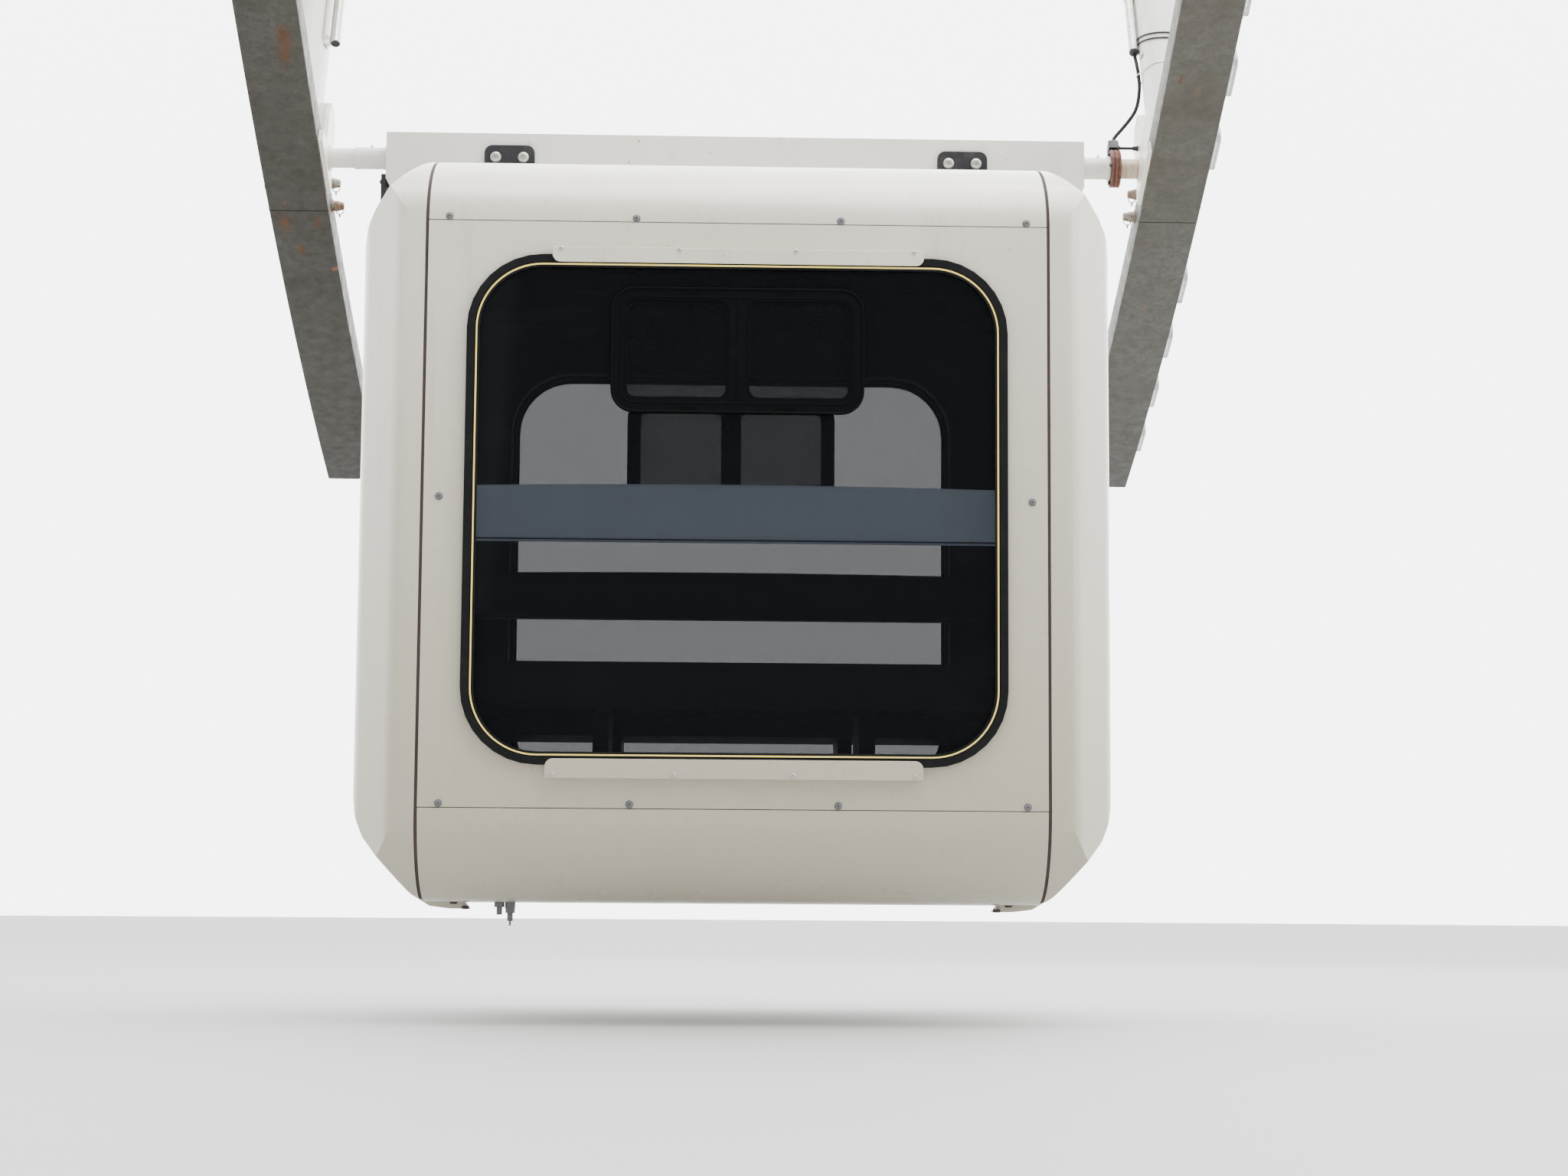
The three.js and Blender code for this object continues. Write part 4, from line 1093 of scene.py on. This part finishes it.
@made("white_steel", SIDES, body="wheel_bay")
def bracket_welds(bm):
    bead(bm, (RIM_IN - 12.5, 0, 0), TO_LEFT, 35.5, 2.2)
    outline = [(-125, -12), (-125, -50), (91, -50), (91, -22)]
    for (y0, z0), (y1, z1) in zip(outline, outline[1:]):
        tube(bm, [(RIM_IN - 1.5, y0, z0), (RIM_IN - 1.5, y1, z1)], 3)


def add(bm, matrix, make, *args):
    """Adds one more solid to a bmesh, moved by a matrix."""
    before = len(bm.verts)
    make(bm, *args)
    bm.verts.ensure_lookup_table()
    bmesh.ops.transform(bm, matrix=matrix, verts=bm.verts[before:])


def lamp_rail_and_lenses(first, last):
    """Rail, lamp trays and lenses of one row of lamps."""
    rail, lenses = bmesh.new(), bmesh.new()
    face, past = RIM_OUT + 0.3, LAMP_LENGTH / 2 + 20
    stations = [first - past + (last - first + 2 * past) * i / 24 for i in range(25)]
    loft(rail, along_rim([(face, -20), (face + 3, -20), (face + 3, 20), (face, 20)], stations))
    for i in range((last - first) // LAMP_PITCH + 1):
        turn = on_rim(first + i * LAMP_PITCH)
        add(rail, turn, prism, rounded(LAMP_LENGTH, LAMP_HEIGHT, 14), "X", face + 0.5, face + 6)
        add(lenses, turn, prism, rounded(LAMP_LENGTH - 8, LAMP_HEIGHT - 8, 22), "X", face + 5, face + 21)
        for rib in range(-2, 3):
            ridge = rounded(5, 50, 2.4, RIB_PITCH * rib, 0, 3)
            add(lenses, turn, prism, ridge, "X", face + 20.5, face + 22)
    return rail, lenses


RIM_SPANS = {"upper": (-BAY_HALF_ANGLE * WHEEL_RADIUS, SPLICE - SPLICE_GAP / 2),
             "lower": (SPLICE + SPLICE_GAP / 2, BAY_HALF_ANGLE * WHEEL_RADIUS)}
LAMP_ROWS = {"upper": (-1538, -93), "lower": (515, 1382)}
for where in ("upper", "lower"):
    pair(f"pin_{where}", splice_pin(PINS[where]), SIDES, "steel", f"splice_pin_{where}",
         body="wheel_bay", finish="worn_steel")
    pair(f"girder_{where}", rim_girder(*RIM_SPANS[where]), SIDES, "galvanised", f"rim_{where}",
         body="wheel_bay")
    rail, lenses = lamp_rail_and_lenses(*LAMP_ROWS[where])
    piece(f"lamp_rail_{where}", rail, "steel", "wheel_bay", bevel=0.5)
    piece(f"lamp_lenses_{where}", lenses, "lens", "wheel_bay", replaces=f"lamp_row_{where}",
          bevel=3, segments=3)


# Brush holder, and what is fixed to the cable, the conduits and the spokes
BRUSH_TOP = SLIP_RADIUS + 38.5
BRUSH_ROD_HEIGHT = 77
THIN_CONDUIT_AT, THIN_CONDUIT_LOW, THIN_CLIPS_Z = (1165.5, -44.0), 416, (640, 990, 1340, 1690)


@made("black_metal", body="wheel_bay", bevel=0.8, replaces="brush_holder")
def brush_boxes(bm):
    """Brush block with two screws, and the rod that holds it."""
    low, high = SLIP_RADIUS + 0.5, BRUSH_TOP
    middle = (SLIP_FROM + SLIP_TO) / 2
    prism(bm, rounded(29, 44, 4, middle, 0), "Z", low + 7, high - 4)
    prism(bm, rounded(24, 38, 5, middle, 0), "Z", high - 5, high - 0.5)
    for x in (middle - 7, middle + 7):
        prism(bm, rounded(9, 30, 1.5, x, 0), "Z", low, low + 8)
    for y in (-15, 15):
        lathe(bm, (middle, y, high - 2), UP, [(4, 0), (4, 3.4), (3, 4)], 12)
    rod_end = RIM_IN - 12.5
    tube(bm, [(SLIP_TO + 1, 0, BRUSH_ROD_HEIGHT), (rod_end, 0, BRUSH_ROD_HEIGHT)], 4, 16)
    lathe(bm, (rod_end, 0, BRUSH_ROD_HEIGHT), TO_LEFT, [(8, 0), (8, 4), (6.5, 5), (6.5, 15), (4.2, 16)], 20)
    lathe(bm, (SLIP_TO + 2, 0, BRUSH_ROD_HEIGHT), TO_RIGHT, [(7.5, 0), (7.5, 6)], 6)


@made("rubber", body="wheel_bay")
def cable_sleeve(bm):
    """Shrunk sleeve where the cable enters the brush block."""
    profile = [(9, 0), (9, 3), (6.8, 4), (6.4, 9), (5.3, 10)]
    lathe(bm, (CABLE_ROUTE[-1][0], 0, BRUSH_TOP - 1), UP, profile, 20)


@made("steel", SIDES, body="wheel_bay", bevel=0.5)
def conduit_clips(bm):
    """Clips along a conduit, each with its foot on the spoke."""
    for z in CONDUIT_CLIPS_Z:
        lathe(bm, (CONDUIT_X, 0, z), UP, [(13.5, 0), (15.6, 0.3), (15.6, 17), (13.5, 17.3)], 24)
        block(bm, CONDUIT_X + 2, CONDUIT_X + 20, 13.5, 16, z, z + 17.3)


# The right conduit's bush, with the cable through it, and the left one's sleeve and plug
for name, places, slot, z, profile in (
    ("bush", HERE, "black_metal", 5, [(14, 0), (14.7, 0.6), (14.7, 6), (13.5, 8.5), (9, 11), (5.6, 12)]),
    ("sleeve", ON_LEFT, "steel", 6, [(14, 0), (14.8, 0.8), (14.8, 18), (13.6, 18.6)]),
    ("plug", ON_LEFT, "black_metal", -10, [(12.8, 0), (12.8, 3.5), (11.6, 4.6)]),
):
    end = solid(lathe, (CONDUIT_X, 0, CONDUIT_LOW + z), DOWN, profile, 28)
    pair(f"conduit_{name}", end, places, slot, body="wheel_bay", bevel=0.4)


@made("white_steel", ON_LEFT, body="wheel_bay", bevel=0.4)
def thin_conduit_ends(bm):
    """Bush in the thin conduit's lower end, and its clips."""
    x, y = THIN_CONDUIT_AT
    lathe(bm, (x, y, THIN_CONDUIT_LOW + 3), DOWN, [(9.5, 0), (10.1, 0.6), (10.1, 5), (7, 6.5)], 20)
    for z in THIN_CLIPS_Z:
        lathe(bm, (x, y, z), UP, [(9.3, 0), (11, 0.3), (11, 14), (9.3, 14.3)], 20)


def spoke_stud(angle, z):
    """Round head of a bolt through the spoke's wall, beside the conduit's end."""
    out = Vector((-math.cos(math.radians(angle)), -math.sin(math.radians(angle)), 0))
    return solid(dome, Vector((RIM_X, 0, z)) + out * SPOKE_RADIUS, out, 8.5, 5, 11)


for (name, turn), angle, z in zip(SIDES, (17, 26), (415, 397)):
    piece(f"spoke_stud_{name}", mirrored(spoke_stud(angle, z), turn), "steel", "wheel_bay")


# Padded rails of the two benches, with a slightly bowed upper edge
RAIL_HALF, RAIL_FAR, RAIL_THICK = 858, 735, 40


def rail_pad(low, high, rise):
    """A pad round a back rail. Its section is a rounded rectangle, taller toward the middle."""
    rings = []
    for i in range(33):
        x = RAIL_HALF * (i / 16 - 1)
        top = high + rise * (1 - (x / RAIL_HALF) ** 2)
        section = rounded(RAIL_THICK + 8, top - low + 5, 16, RAIL_THICK / 2 - RAIL_FAR, (top + low) / 2)
        rings.append([Vector((x, y, z)) for y, z in section])
    return solid(loft, rings)


# The front pad's finish is painted light: pale and glowing, to look lit.
piece("rail_pad_front", rail_pad(-1156, -1028, 12), "seating", finish="vinyl_painted_glow")
piece("rail_pad_rear", mirrored(rail_pad(-1206, -1075, 8), MIRROR_Y), "seating")

# Studio: pale floor and soft light
FLOOR_GAP = 0.3
# A range of the direction and the brightness at its ends: upward, and from the camera's side to the far one
SKY_RISE, SKY_SHADE = (0.25, 0.95, 5.2, 5.8), (-0.55, 0.6, 0.13, 1.2)


def studio():
    bm = bmesh.new()
    bmesh.ops.create_circle(bm, cap_ends=True, segments=96, radius=60)
    bmesh.ops.translate(bm, vec=Vector((AXLE.x, AXLE.y, cad_box[0].z - FLOOR_GAP)), verts=bm.verts)
    floor = object_of("floor", bm)
    paint = Paint("floor_paint", (0.42, 0.42, 0.41), 0.75)
    paint.color(paint.mix(paint.noise(1.5, 4), (0.43, 0.43, 0.42), (0.41, 0.41, 0.40)))
    floor.data.materials.append(paint.material)

    world = bpy.data.worlds.new("studio")
    sky = Tree(world)
    split = sky.nodes.new("ShaderNodeSeparateXYZ")
    sky.fill(split, Vector=sky.nodes.new("ShaderNodeTexCoord").outputs["Generated"])
    rise = sky.ranged(split.outputs["Z"], *SKY_RISE)
    shade = sky.ranged(split.outputs["Y"], *SKY_SHADE)
    sky.fill(sky.nodes["Background"], Color=(0.965, 0.98, 1.0, 1), Strength=sky.times(rise, shade))
    bpy.context.scene.world = world

    for name, place, size, energy, color in (
        ("top", (1.2, -1.2, 5.5), 5.0, 640, (1.0, 0.99, 0.97)),
        ("key", (6.5, -3.5, 2.6), 3.0, 260, (1.0, 0.98, 0.95)),
        ("fill", (-3.0, -8.5, 1.5), 4.0, 35, (1.0, 0.98, 0.95)),
        ("back", (3.0, 7.0, 2.0), 5.0, 300, (1.0, 1.0, 1.0)),
    ):
        light = bpy.data.lights.new(name, "AREA")
        light.size = size
        light.energy = energy
        light.color = color
        lamp = linked(name, light)
        lamp.location = AXLE + Vector(place)
        lamp.rotation_mode = "QUATERNION"
        lamp.rotation_quaternion = (AXLE + Vector((0, 0, -1)) - lamp.location).to_track_quat("-Z", "Y")


studio()
